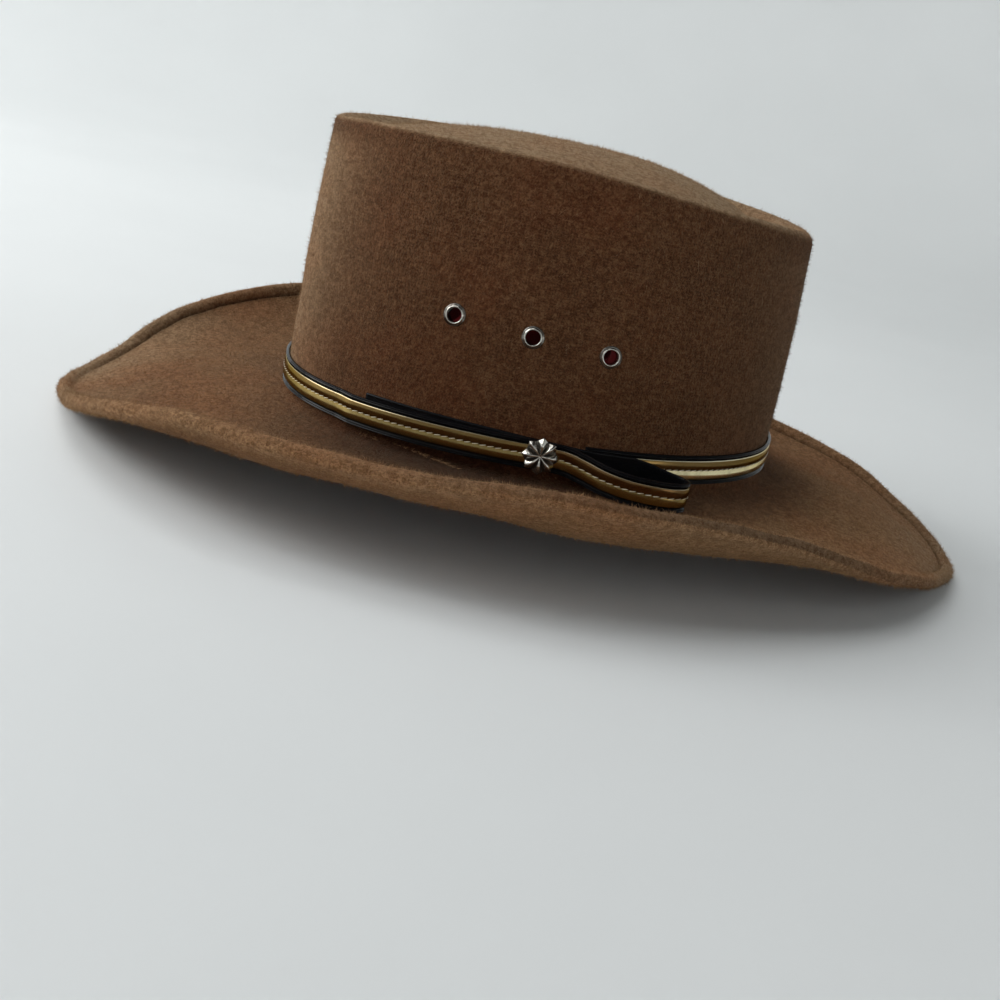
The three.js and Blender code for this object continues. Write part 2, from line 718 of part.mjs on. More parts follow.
eyeletFrames().forEach((frame, index) => {
  const eyelet = addMesh(`eyelet_${index + 1}`, eyeletGeometry(), nickel);
  eyelet.position.copy(frame.point);
  eyelet.quaternion.setFromUnitVectors(new THREE.Vector3(0, 1, 0), frame.out);
});

export default hat;
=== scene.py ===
# Looks of a gambler hat of brown wool felt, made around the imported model: the felt body with its folded
# and stitched edge and its wool nap, a gathered red lining, a gold and black band with a bow, the stitches
# on it, a star concho and three eyelets.
# Sizes are in millimetres and become metres where a mesh is made. +Z is up, -Y is the front of the hat and
# +X is the wearer's left. Angles are in degrees from the front (0) round by the wearer's left (90).
import math

import bpy
import numpy as np
from mathutils import Matrix


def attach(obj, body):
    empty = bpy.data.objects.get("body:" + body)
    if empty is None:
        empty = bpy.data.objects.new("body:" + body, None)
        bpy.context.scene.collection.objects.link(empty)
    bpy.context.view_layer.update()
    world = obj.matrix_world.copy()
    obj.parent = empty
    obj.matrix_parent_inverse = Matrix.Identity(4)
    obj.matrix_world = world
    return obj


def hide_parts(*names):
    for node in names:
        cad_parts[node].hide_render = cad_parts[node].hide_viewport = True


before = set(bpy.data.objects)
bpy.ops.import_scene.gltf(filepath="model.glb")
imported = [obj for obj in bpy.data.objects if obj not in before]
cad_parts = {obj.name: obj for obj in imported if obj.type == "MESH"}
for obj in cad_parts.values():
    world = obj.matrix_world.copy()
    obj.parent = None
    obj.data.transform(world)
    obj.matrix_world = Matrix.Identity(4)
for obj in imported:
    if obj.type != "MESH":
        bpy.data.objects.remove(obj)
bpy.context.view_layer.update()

MM = 0.001
FULL_TURN = 360.0
FRONT = 0
BACK = 180

# Felt
FELT_THICKNESS = 2.8
STATION_COUNT = 352

# Crown
CROWN_BASE_WIDTH = 172.0
CROWN_BASE_LENGTH = 208.4
CROWN_TOP_WIDTH = 150.4
CROWN_TOP_LENGTH = 205.0
CROWN_SQUARENESS = 2.15
CROWN_BELLY = 0.9
CROWN_HEIGHT = 119.0
CREST_ROLL = 3.6
BACK_ROLL = 3.2
BACK_ROLL_ZONE = (172, 30)
TROUGH_INSET = 12.5
TROUGH_DEPTH = 5.5
DOME_RISE = 2.5
DOME_FULLNESS = 2.5

# Brim
BREAK_HEIGHT = 25.2
BREAK_TILT = 2.1
BREAK_SAG = 1.5
FLARE_RADIUS = 4.0
BRIM_REACH = 200.0
BRIM_LIFT = 40.0
BRIM_FALL = 0.2
BRIM_CURL = 3
WELT_THICKNESS = 6.2
WELT_WIDTH = 8.5
RIDGE_INSET = 0.26
SLOPE_PASSES = 4

# Lining
LINING_THICKNESS = 0.6
LINING_GAP = 1.6
LINING_HEM_HEIGHT = 9.0
HEM_GAP = 0.5
LINING_STATIONS = 180

# Band and bow
TRIM_GAP = 0.3
BAND_LIFT = 5.5
BAND_DIP = 1.5
BAND_DIP_ANGLE = 18.0
BAND_DIP_FOCUS = 4
BAND_WIDTH = 11.6
BACKING_THICKNESS = 0.8
PIPING_WIDTH = 1.9
PIPING_HEIGHT = 1.5
GOLD_THICKNESS = 0.6
BAND_START = 105.2
OVERLAP_START = 40.0
OVERLAP_RUN = 5.625
TAIL_LIFT = 1.4
BOW_LENGTH = 57.5
BOW_OUT = 11.5
BOW_DROP = 3.6
STRIP_STEP = 0.75
STITCH_PITCH = 3.0

# Star concho
CONCHO_ANGLE = 94.0
CONCHO_RADIUS = 7.3
CONCHO_POINTS = 8
CONCHO_RISE = 2.8

# Eyelets
EYELET_COUNT = 3
EYELET_MIDDLE_ANGLE = 85.9
EYELET_SPACING = 30.0
EYELET_HEIGHT = 52.8
EYELET_SLOPE = -0.052
EYELET_FLANGE_RADIUS = 4.4
EYELET_HOLE_RADIUS = 2.7
EYELET_WALL = 0.35
EYELET_FLANGE_RISE = 1.0

# The crown's top rim and the trough behind it, as shares of CROWN_HEIGHT and TROUGH_DEPTH.
CREST_ROWS = [
    {"at": 0, "crest": 0.956, "trough": 0.45},
    {"at": 45, "crest": 0.989, "trough": 0.8},
    {"at": 90, "crest": 0.99, "trough": 1},
    {"at": 135, "crest": 0.945, "trough": 0.9},
    {"at": 180, "crest": 0.902, "trough": 0.87},
    {"at": 225, "crest": 0.927, "trough": 0.9},
    {"at": 270, "crest": 0.98, "trough": 1},
    {"at": 315, "crest": 0.966, "trough": 0.75},
]

# The brim's edge: its reach, its lift and how steeply the brim falls where it leaves the crown, as shares
# of BRIM_REACH, BRIM_LIFT and BRIM_FALL.
RIM_ROWS = [
    {"at": 0, "reach": 1, "lift": -0.055, "fall": 0.6},
    {"at": 14, "reach": 0.964, "lift": 0.12, "fall": 0.7},
    {"at": 30, "reach": 0.945, "lift": 0.425, "fall": 0.8},
    {"at": 50, "reach": 0.908, "lift": 0.805, "fall": 0.55},
    {"at": 75, "reach": 0.829, "lift": 0.865, "fall": 0.33},
    {"at": 100, "reach": 0.79, "lift": 0.9, "fall": 1},
    {"at": 125, "reach": 0.79, "lift": 0.73, "fall": 1.35},
    {"at": 150, "reach": 0.884, "lift": 0.335, "fall": 0.9},
    {"at": 167, "reach": 0.95, "lift": 0.065, "fall": 0.7},
    {"at": 180, "reach": 1, "lift": -0.067, "fall": 0.6},
    {"at": 193, "reach": 0.995, "lift": 0.065, "fall": 0.7},
    {"at": 210, "reach": 0.924, "lift": 0.395, "fall": 0.85},
    {"at": 235, "reach": 0.81, "lift": 0.605, "fall": 1.2},
    {"at": 260, "reach": 0.79, "lift": 0.82, "fall": 1.1},
    {"at": 285, "reach": 0.823, "lift": 0.975, "fall": 0.7},
    {"at": 310, "reach": 0.895, "lift": 0.895, "fall": 0.5},
    {"at": 330, "reach": 0.975, "lift": 0.525, "fall": 0.7},
    {"at": 346, "reach": 1, "lift": 0.015, "fall": 0.65},
]

# The rim's inner side: the distance in from the crest and the depth below it, as shares.
TROUGH_ROWS = [
    {"inset": 0, "depth": 0},
    {"inset": 0.2, "depth": 0.17},
    {"inset": 0.45, "depth": 0.6},
    {"inset": 0.7, "depth": 0.92},
    {"inset": 1, "depth": 1},
]

# The folded edge in section, from the stitched groove at its inner foot round the outside to the
# underside: the distance in from the outermost line and the height above the underside, as shares.
FOLD_ROWS = [
    {"inset": 0.92, "height": 0.45},
    {"inset": 0.8, "height": 0.44},
    {"inset": 0.76, "height": 0.38},
    {"inset": 0.72, "height": 0.43},
    {"inset": 0.68, "height": 0.6},
    {"inset": 0.62, "height": 0.75},
    {"inset": 0.53, "height": 0.87},
    {"inset": 0.42, "height": 0.95},
    {"inset": 0.32, "height": 0.97},
    {"inset": 0.21, "height": 0.94},
    {"inset": 0.11, "height": 0.85},
    {"inset": 0.03, "height": 0.69},
    {"inset": 0, "height": 0.5},
    {"inset": 0.03, "height": 0.3},
    {"inset": 0.12, "height": 0.13},
    {"inset": 0.25, "height": 0.03},
    {"inset": 0.42, "height": 0},
]

# The bow, from the concho out to the end of its loop and back, as shares of BOW_LENGTH, BOW_OUT and
# BOW_DROP.
BOW_ROWS = [
    {"along": 0.14, "out": 0.02, "drop": 0},
    {"along": 0.21, "out": 0.13, "drop": 0.1},
    {"along": 0.3, "out": 0.33, "drop": 0.36},
    {"along": 0.43, "out": 0.66, "drop": 0.75},
    {"along": 0.57, "out": 0.9, "drop": 0.95},
    {"along": 0.72, "out": 1, "drop": 1},
    {"along": 0.86, "out": 0.94, "drop": 1},
    {"along": 0.96, "out": 0.68, "drop": 1},
    {"along": 1, "out": 0.32, "drop": 1},
    {"along": 0.965, "out": -0.02, "drop": 0.95},
    {"along": 0.86, "out": -0.22, "drop": 0.75},
]

# The bow's way back to the end of its tail: the layer it lies in, and its lift as a share of TAIL_LIFT.
TAIL_ROWS = [
    {"at": 117.5, "layer": 1.5, "lift": -1.2},
    {"at": 111.5, "layer": 1.05, "lift": -0.9},
    {"at": 105, "layer": 1, "lift": -0.7},
    {"at": 99, "layer": 0, "lift": -0.4},
    {"at": 91, "layer": 0, "lift": 0.1},
    {"at": 82, "layer": 0, "lift": 0.65},
    {"at": 72, "layer": 0, "lift": 1.05},
    {"at": 62, "layer": 0, "lift": 1.3},
    {"at": 53, "layer": 0, "lift": 1.5},
    {"at": 48, "layer": 0, "lift": 1.5},
]


# Camera, as it stood when the photograph was taken

CAMERA_AZIMUTH = 87.8756
CAMERA_ELEVATION = 13.1529
CAMERA_DISTANCE = 657.8337
CAMERA_ROLL = 12.2976
CAMERA_BASE = (0.0, 0.0, 31.115)
CAMERA_TARGET = (0.0, -2.2686, -11.7385)
CAMERA_LENS = 54.01
CAMERA_SENSOR = 36.0


def place_camera():
    azimuth = math.radians(CAMERA_AZIMUTH)
    elevation = math.radians(CAMERA_ELEVATION)
    roll = math.radians(CAMERA_ROLL)
    toward = np.array([
        math.sin(azimuth) * math.cos(elevation),
        -math.cos(azimuth) * math.cos(elevation),
        math.sin(elevation),
    ])
    position = np.array(CAMERA_BASE) + toward * CAMERA_DISTANCE
    forward = unit(np.array(CAMERA_TARGET) - position)
    level = unit(np.cross(forward, [0.0, 0.0, 1.0]))
    upright = np.cross(level, forward)
    right = level * math.cos(roll) + upright * math.sin(roll)
    up = upright * math.cos(roll) - level * math.sin(roll)
    data = bpy.data.cameras.new("camera")
    data.lens = CAMERA_LENS
    data.sensor_width = CAMERA_SENSOR
    data.clip_start = 0.01
    camera = bpy.data.objects.new("camera", data)
    bpy.context.scene.collection.objects.link(camera)
    rows = np.eye(4)
    rows[:3, 0] = right
    rows[:3, 1] = up
    rows[:3, 2] = -forward
    rows[:3, 3] = position * MM
    camera.matrix_world = Matrix(rows.tolist())
    bpy.context.scene.camera = camera


# Small tools for points and curves

def unit(vectors):
    vectors = np.asarray(vectors, float)
    return vectors / np.maximum(np.linalg.norm(vectors, axis=-1, keepdims=True), 1e-12)


def smoothstep(value, low, high):
    share = np.clip((np.asarray(value, float) - low) / (high - low), 0, 1)
    return share * share * (3 - 2 * share)


def bell(value, centre, width):
    return np.exp(-((value - centre) / width) ** 2)


def turn_apart(angle, centre):
    """The signed turn from centre to angle, between -180 and 180 degrees."""
    return (np.asarray(angle, float) - centre + FULL_TURN / 2) % FULL_TURN - FULL_TURN / 2


def zone(angles, place):
    """A soft zone round the hat, 1 in its middle; place is its middle and its spread in degrees."""
    middle, spread = place
    return bell(turn_apart(angles, middle), 0, spread)


def column(table, name):
    return np.array([row[name] for row in table], float)


def around(table, name, angles):
    """A column of a table at each angle, on a smooth closed curve through the rows."""
    at = column(table, "at")
    value = column(table, name)
    count = len(at)
    place = np.mod(angles, FULL_TURN)
    start = np.searchsorted(at, place, side="right") - 1
    before = (start - 1) % count
    end = (start + 1) % count
    after = (start + 2) % count
    span = np.mod(at[end] - at[start], FULL_TURN)
    share = (place - at[start]) / span
    slope_start = (value[end] - value[before]) / np.mod(at[end] - at[before], FULL_TURN) * span
    slope_end = (value[after] - value[start]) / np.mod(at[after] - at[start], FULL_TURN) * span
    rise = share * share * (3 - 2 * share)
    return (
        value[start] * (1 - rise) + value[end] * rise
        + slope_start * share * (1 - share) ** 2 - slope_end * share ** 2 * (1 - share)
    )


def smooth_path(points, steps):
    """A centripetal curve through points, with this many steps between each two."""
    points = np.asarray(points, float)
    ends = np.vstack([2 * points[0] - points[1], points, 2 * points[-1] - points[-2]])
    share = (np.arange(steps) / steps)[:, None]
    path = []
    for index in range(len(points) - 1):
        p0, p1, p2, p3 = ends[index:index + 4]
        gaps = [math.sqrt(max(np.linalg.norm(b - a), 1e-6)) for a, b in ((p0, p1), (p1, p2), (p2, p3))]
        g0, g1, g2 = gaps
        start = ((p1 - p0) / g0 - (p2 - p0) / (g0 + g1) + (p2 - p1) / g1) * g1
        end = ((p2 - p1) / g1 - (p3 - p1) / (g1 + g2) + (p3 - p2) / g2) * g1
        rise = share * share * (3 - 2 * share)
        path.append(
            p1 * (1 - rise) + p2 * rise
            + start * share * (1 - share) ** 2 - end * share ** 2 * (1 - share)
        )
    return np.vstack(path + [points[-1:]])


def even_path(points, step, extra=None):
    """The same line with points at an even step; extra columns are carried along."""
    lengths = np.linalg.norm(np.diff(points, axis=0), axis=1)
    at = np.concatenate([[0], np.cumsum(lengths)])
    count = max(2, round(at[-1] / step) + 1)
    want = np.linspace(0, at[-1], count)
    line = np.column_stack([np.interp(want, at, points[:, axis]) for axis in range(points.shape[1])])
    if extra is None:
        return line
    carried = np.column_stack([np.interp(want, at, extra[:, axis]) for axis in range(extra.shape[1])])
    return line, carried


def soft_noise(points, wavelength, seed, waves=14):
    """A smooth wandering value of about -1 to 1 at each point, from waves in many directions."""
    rng = np.random.default_rng(seed)
    points = np.asarray(points, float)
    value = np.zeros(points.shape[:-1])
    for _ in range(waves):
        direction = unit(rng.normal(size=points.shape[-1]))
        length = wavelength * rng.uniform(0.7, 1.6)
        value += np.sin(points @ direction * (2 * math.pi / length) + rng.uniform(0, 2 * math.pi))
    return value / math.sqrt(waves)


# Making pieces

def collect(faces):
    return [np.asarray(part) for part in faces if len(part)]


def signed_volume(points, faces):
    total = 0.0
    for part in faces:
        for corner in range(1, part.shape[1] - 1):
            a, b, c = points[part[:, 0]], points[part[:, corner]], points[part[:, corner + 1]]
            total += np.einsum("ij,ij->i", a, np.cross(b, c)).sum() / 6
    return total


def make_mesh(name, points, faces, values=None):
    """A mesh in metres from points in millimetres and arrays of faces with their outsides outwards."""
    faces = collect(faces)
    if signed_volume(points, faces) < 0:
        faces = [part[:, ::-1] for part in faces]
    corners = np.concatenate([part.ravel() for part in faces])
    sizes = np.concatenate([np.full(len(part), part.shape[1]) for part in faces])
    mesh = bpy.data.meshes.new(name)
    mesh.vertices.add(len(points))
    mesh.vertices.foreach_set("co", (np.asarray(points, float) * MM).ravel())
    mesh.loops.add(len(corners))
    mesh.loops.foreach_set("vertex_index", corners.astype(np.int32))
    mesh.polygons.add(len(sizes))
    mesh.polygons.foreach_set("loop_start", np.concatenate([[0], np.cumsum(sizes)[:-1]]).astype(np.int32))
    mesh.update(calc_edges=True)
    for key, value in (values or {}).items():
        layer = mesh.attributes.new(key, "FLOAT", "POINT")
        layer.data.foreach_set("value", np.asarray(value, np.float32).ravel())
    return mesh


def make_piece(name, mesh, material, stands_for=(), smooth=True):
    piece = bpy.data.objects.new(name, mesh)
    bpy.context.scene.collection.objects.link(piece)
    mesh.materials.append(material)
    mesh.polygons.foreach_set("use_smooth", np.full(len(mesh.polygons), smooth))
    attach(piece, "root")
    if stands_for:
        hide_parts(*stands_for)
    return piece


def grid_faces(columns, rows, start=0, closed=True):
    """Quads between columns of rows points, with the columns closed to a ring or left open."""
    last = columns if closed else columns - 1
    one = np.arange(last)[:, None] * rows
    two = (np.arange(last)[:, None] + 1) % columns * rows
    row = np.arange(rows - 1)[None, :]
    quads = np.stack([one + row, one + row + 1, two + row + 1, two + row], axis=-1)
    return quads.reshape(-1, 4) + start


def turned_points(angles, radius, height):
    """Points at angles round the hat, from radii and heights."""
    turn, radius, height = np.broadcast_arrays(np.radians(angles), radius, height)
    return np.stack([radius * np.sin(turn), -radius * np.cos(turn), height], axis=-1)


def loft(sections, angles):
    """A closed body from sections (station, row, [radius, height]) that start and end on the axis."""
    stations, rows = sections.shape[0], sections.shape[1] - 2
    body = turned_points(angles[:, None], sections[:, 1:-1, 0], sections[:, 1:-1, 1])
    tops = np.array([[0, 0, sections[0, 0, 1]], [0, 0, sections[0, -1, 1]]])
    points = np.vstack([tops, body.reshape(-1, 3)])
    one = 2 + np.arange(stations) * rows
    two = 2 + (np.arange(stations) + 1) % stations * rows
    cap = np.stack([np.zeros(stations, int), one, two], axis=-1)
    base = np.stack([one + rows - 1, np.ones(stations, int), two + rows - 1], axis=-1)
    return points, [grid_faces(stations, rows, 2), cap, base]


# Form of the felt

def oval_radius(angles, width, length):
    turn = np.radians(angles)
    across = np.abs(np.sin(turn)) / (width / 2)
    along = np.abs(np.cos(turn)) / (length / 2)
    return (across ** CROWN_SQUARENESS + along ** CROWN_SQUARENESS) ** (-1 / CROWN_SQUARENESS)


def wall_radius(angles, share):
    width = CROWN_BASE_WIDTH + (CROWN_TOP_WIDTH - CROWN_BASE_WIDTH) * share
    length = CROWN_BASE_LENGTH + (CROWN_TOP_LENGTH - CROWN_BASE_LENGTH) * share
    belly = CROWN_BELLY * np.sin(math.pi * np.clip(share, 0, 1))
    return oval_radius(angles, width, length) + belly


def break_height(angles):
    turn = np.radians(angles)
    return BREAK_HEIGHT - BREAK_TILT * np.cos(turn) - BREAK_SAG * np.sin(turn) ** 2


def crest_height(angles):
    return BREAK_HEIGHT + CROWN_HEIGHT * around(CREST_ROWS, "crest", angles)


def trough_height(angles):
    return crest_height(angles) - TROUGH_DEPTH * around(CREST_ROWS, "trough", angles)


def crest_roll(angles):
    """The roll at the rim of the top, softer at the back of the hat."""
    return CREST_ROLL + BACK_ROLL * zone(angles, BACK_ROLL_ZONE)


def trough_radius(angles):
    return wall_radius(angles, 1.0) - crest_roll(angles) - TROUGH_INSET


def wall_foot(angles):
    return break_height(angles) + FLARE_RADIUS


def wall_top(angles):
    return crest_height(angles) - crest_roll(angles)


DOME_HEIGHT = BREAK_HEIGHT + CROWN_HEIGHT + DOME_RISE
DOME_STEPS = 24
TROUGH_STEPS = 14
ROLL_STEPS = 8
WALL_STEPS = 38
FLARE_STEPS = 6
BRIM_STEPS = 36
FOLD_STEPS = 2
TROUGH_SMOOTHINGS = 3
SMOOTHED_DOME_STEPS = 6


def pair(radius, height):
    return np.stack(np.broadcast_arrays(radius, height), axis=-1)


def brim_curve(angles):
    """The brim's upper side as a curve from the break to the edge line, for each angle."""
    start_radius = wall_radius(angles, 0.0) + FLARE_RADIUS
    start_height = break_height(angles)
    start_slope = -BRIM_FALL * around(RIM_ROWS, "fall", angles)
    ridge_radius = BRIM_REACH * around(RIM_ROWS, "reach", angles)
    ridge_height = WELT_THICKNESS + BRIM_LIFT * around(RIM_ROWS, "lift", angles)
    slope = np.zeros_like(start_radius)
    for _ in range(SLOPE_PASSES):
        size = np.hypot(1, slope)
        inset = RIDGE_INSET * WELT_WIDTH / size
        sink = (WELT_THICKNESS - FELT_THICKNESS) / size
        run = ridge_radius + inset + sink * slope - start_radius
        rise = ridge_height + inset * slope - sink - start_height
        slope = BRIM_CURL * rise / run - (BRIM_CURL - 1) * start_slope
    fold_share = WELT_WIDTH / np.hypot(1, slope) / run
    return {
        "start_radius": start_radius,
        "start_height": start_height,
        "start_slope": start_slope,
        "run": run,
        "rise": rise,
        "fold_share": fold_share,
    }


def brim_point(curve, share, above):
    bend = curve["rise"] - curve["start_slope"] * curve["run"]
    height = curve["start_height"] + curve["start_slope"] * curve["run"] * share + bend * share ** BRIM_CURL
    slope = curve["start_slope"] + BRIM_CURL * bend * share ** (BRIM_CURL - 1) / curve["run"]
    size = np.hypot(1, slope)
    radius = curve["start_radius"] + curve["run"] * share
    return pair(radius - above * slope / size, height + above / size)


def upper_side(angles):
    """The felt's upper side for each angle, from the middle of the top to the foot of the folded edge."""
    angle = angles[:, None]
    floor_radius = trough_radius(angle)
    floor = trough_height(angle)
    crest = crest_height(angle)
    crest_radius = floor_radius + TROUGH_INSET
    dome = np.linspace(0, 1, DOME_STEPS)[None, :]
    parts = [pair(floor_radius * dome, floor + (DOME_HEIGHT - floor) * (1 - dome ** DOME_FULLNESS))]
    inner = smooth_path(np.stack([column(TROUGH_ROWS, "inset"), column(TROUGH_ROWS, "depth")], axis=-1), 4)
    inset = np.linspace(1, 0, TROUGH_STEPS)[None, 1:]
    depth = np.interp(inset, inner[:, 0], inner[:, 1])
    parts.append(pair(crest_radius - TROUGH_INSET * inset, crest - (crest - floor) * depth))
    roll = np.linspace(0, math.pi / 2, ROLL_STEPS)[None, 1:]
    reach = crest_roll(angle)
    parts.append(pair(crest_radius + reach * np.sin(roll), crest - reach * (1 - np.cos(roll))))
    share = np.linspace(1, 0, WALL_STEPS)[None, 1:]
    rise = (wall_top(angle) - wall_foot(angle)) * share
    parts.append(pair(wall_radius(angle, share), wall_foot(angle) + rise))
    flare = np.linspace(0, math.pi / 2, FLARE_STEPS)[None, 1:]
    parts.append(pair(
        wall_radius(angle, 0.0) + FLARE_RADIUS * (1 - np.cos(flare)),
        break_height(angle) + FLARE_RADIUS * (1 - np.sin(flare)),
    ))
    curve = brim_curve(angle)
    foot = 1 - curve["fold_share"] * FOLD_ROWS[0]["inset"]
    out = np.linspace(0, 1, BRIM_STEPS)[None, 1:]
    parts.append(brim_point(curve, foot * out, 0.0))
    line = np.concatenate(parts, axis=1)
    first = DOME_STEPS - SMOOTHED_DOME_STEPS
    last = DOME_STEPS + TROUGH_STEPS
    for _ in range(TROUGH_SMOOTHINGS):
        before, after = line[:, first - 1:last - 1], line[:, first + 1:last + 1]
        line[:, first:last] = (before + 2 * line[:, first:last] + after) / 4
    return line, curve


CROWN_ROWS = DOME_STEPS + TROUGH_STEPS - 1 + ROLL_STEPS - 1 + WALL_STEPS - 1
CREST_ROW = DOME_STEPS + TROUGH_STEPS - 1 + ROLL_STEPS // 2
BRIM_START_ROW = CROWN_ROWS + FLARE_STEPS - 1


def outward(points):
    """Unit normals of a line in section, pointing out of the felt's upper side."""
    along = unit(np.gradient(points, axis=1))
    return np.stack([-along[..., 1], along[..., 0]], axis=-1)


# Soft unevenness of the blocked felt. Nothing moves where the band and the eyelets sit.
BRIM_WAVE = 0.55
CROWN_WAVE = 0.45
LONG_WAVE = {"wavelength": 75, "seed": 3}
SHORT_WAVE = {"wavelength": 34, "seed": 5}
LONG_SHARE = 0.65
SHORT_SHARE = 0.35
FRONT_REST = (FRONT, 14)
BACK_REST = (BACK, 14)
CALM_BRIM_ROWS = (4, 16)
CALM_ABOVE_BAND = (4, 22)
CALM_ROUND_EYELET = (5, 14)


def eyelet_frames():
    middle_radius = wall_radius(np.array([EYELET_MIDDLE_ANGLE]), 0.5)[0]
    pitch = math.degrees(EYELET_SPACING / middle_radius)
    frames = []
    for index in range(EYELET_COUNT):
        place = index - (EYELET_COUNT - 1) / 2
        height = BREAK_HEIGHT + EYELET_HEIGHT + EYELET_SLOPE * EYELET_SPACING * place
        frames.append(wall_frame(EYELET_MIDDLE_ANGLE + pitch * place, height))
    return frames


def wall_surface(angles, heights):
    share = (heights - wall_foot(angles)) / (wall_top(angles) - wall_foot(angles))
    return turned_points(angles, wall_radius(angles, share), heights)


def wall_frame(angle, height):
    """Point, outward normal and way up of the crown's wall."""
    step = 0.5
    angle = np.asarray(angle, float)
    height = np.asarray(height, float)
    point = wall_surface(angle, height)
    along = wall_surface(angle + step, height) - wall_surface(angle - step, height)
    up = unit(wall_surface(angle, height + step) - wall_surface(angle, height - step))
    return {"point": point, "out": unit(np.cross(along, up)), "up": up}


def unevenness(line, angles):
    points = turned_points(angles[:, None], line[..., 0], line[..., 1])
    rows = np.arange(line.shape[1])[None, :]
    wave = soft_noise(points, **LONG_WAVE) * LONG_SHARE + soft_noise(points, **SHORT_WAVE) * SHORT_SHARE
    brim_share = smoothstep(rows - BRIM_START_ROW, *CALM_BRIM_ROWS)
    rests = 1 - zone(angles, FRONT_REST) - zone(angles, BACK_REST)
    brim = BRIM_WAVE * wave * brim_share * rests[:, None]
    above_band = line[..., 1] - break_height(angles)[:, None] - BAND_LIFT - BAND_WIDTH
    crown_share = smoothstep(above_band, *CALM_ABOVE_BAND) * (rows < CROWN_ROWS)
    for eyelet in eyelet_frames():
        apart = np.linalg.norm(points - eyelet["point"], axis=-1)
        crown_share = crown_share * smoothstep(apart, *CALM_ROUND_EYELET)
    crown = -CROWN_WAVE * (0.5 + 0.5 * np.tanh(wave)) * crown_share
    return brim + crown


GROOVE_INSET = 0.75
GROOVE_WIDTH = 0.05
GROOVE_DEPTH = 0.03
STITCH_DEPTH = 0.07
EDGE_STITCH_PITCH = 6.5
PLAIN_TIP = (FRONT, 12)
FOLD_UPPER_SHARE = 0.6
GROOVE_WANDER = {"wavelength": 60, "seed": 11}
GROOVE_SHAKE = {"wavelength": 14, "seed": 12}
FOLD_PLUMPNESS = {"wavelength": 26, "seed": 13}
WANDER_SHARE = 0.035
SHAKE_SHARE = 0.025
PLUMP_SHARE = 0.05


def fold_side(curve, angles):
    """The folded edge for each angle, with its wandering stitched groove."""
    rows = np.stack([column(FOLD_ROWS, "inset"), column(FOLD_ROWS, "height")], axis=-1)
    profile = smooth_path(rows, FOLD_STEPS)[1:]
    inset, height = profile[:, 0][None, :], profile[:, 1][None, :]
    circle = turned_points(angles, BRIM_REACH, 0.0)[:, :2]
    wander = WANDER_SHARE * soft_noise(circle, **GROOVE_WANDER)
    wander = wander + SHAKE_SHARE * soft_noise(circle, **GROOVE_SHAKE)
    across = profile[:, 0][None, :]
    upper = (np.arange(len(profile)) < len(profile) * FOLD_UPPER_SHARE)[None, :]
    inset = inset + wander[:, None] * bell(across, GROOVE_INSET, 0.12) * upper
    edge_length = BRIM_REACH * np.radians(angles)[:, None]
    stitch = 0.5 + 0.5 * np.cos(edge_length * 2 * math.pi / EDGE_STITCH_PITCH)
    groove = bell(across, GROOVE_INSET, GROOVE_WIDTH)
    height = height - (GROOVE_DEPTH + STITCH_DEPTH * stitch) * groove * upper
    plump = PLUMP_SHARE * soft_noise(circle, **FOLD_PLUMPNESS)[:, None]
    plump = 1 + plump * bell(across, 0.35, 0.3) * upper
    ramp = 0.45 + 0.52 * smoothstep(0.95 - across, 0, 0.55)
    at_tip = zone(angles, PLAIN_TIP)[:, None] * upper * (across > 0.3)
    height = height + (ramp - height) * at_tip * 0.8
    above = height * plump * WELT_THICKNESS - FELT_THICKNESS
    return brim_point(curve, 1 - inset * curve["fold_share"], above)


def felt_grid():
    """Sections of the felt for all stations, and the rows where its sides begin."""
    angles = FULL_TURN * np.arange(STATION_COUNT) / STATION_COUNT
    line, curve = upper_side(angles)
    shift = unevenness(line, angles)
    normal = outward(line)
    line = line + normal * shift[..., None]
    line[:, 0, 0] = 0
    line[:, 0, 1] = line[:, 0, 1].mean()
    fold = fold_side(curve, angles) + normal[:, -1:] * shift[:, -1:, None]
    under = line - outward(line) * FELT_THICKNESS
    under[:, 0, 0] = 0
    under[:, 0, 1] = under[:, 0, 1].mean()
    lower = np.concatenate([fold, under[:, ::-1]], axis=1)
    lower[..., 1] = np.maximum(lower[..., 1], 0)
    return angles, np.concatenate([line, lower], axis=1), line.shape[1], fold.shape[1]


# Places round the hat for the felt's painted light, painted sheen and painted shade: the middle and the
# spread of each, in degrees
GROOVELESS_TIP = (FRONT, 13)
FRONT_TIP = (350, 22)
BACK_TIP = (172, 24)
BACK_HALF = (155, 48)
BAND_SHADE = (68, 42)
NEAR_EDGE = (110, 45)
FRONT_WALL = (8, 18)
FRONT_FOOT = (12, 28)
BACK_WALL = (178, 20)
SHAGGY_EDGE = (128, 34)
BACK_TROUGH = (212, 38)
FRONT_FOLD = (50, 32)
TIP_REACH = (150, 195)


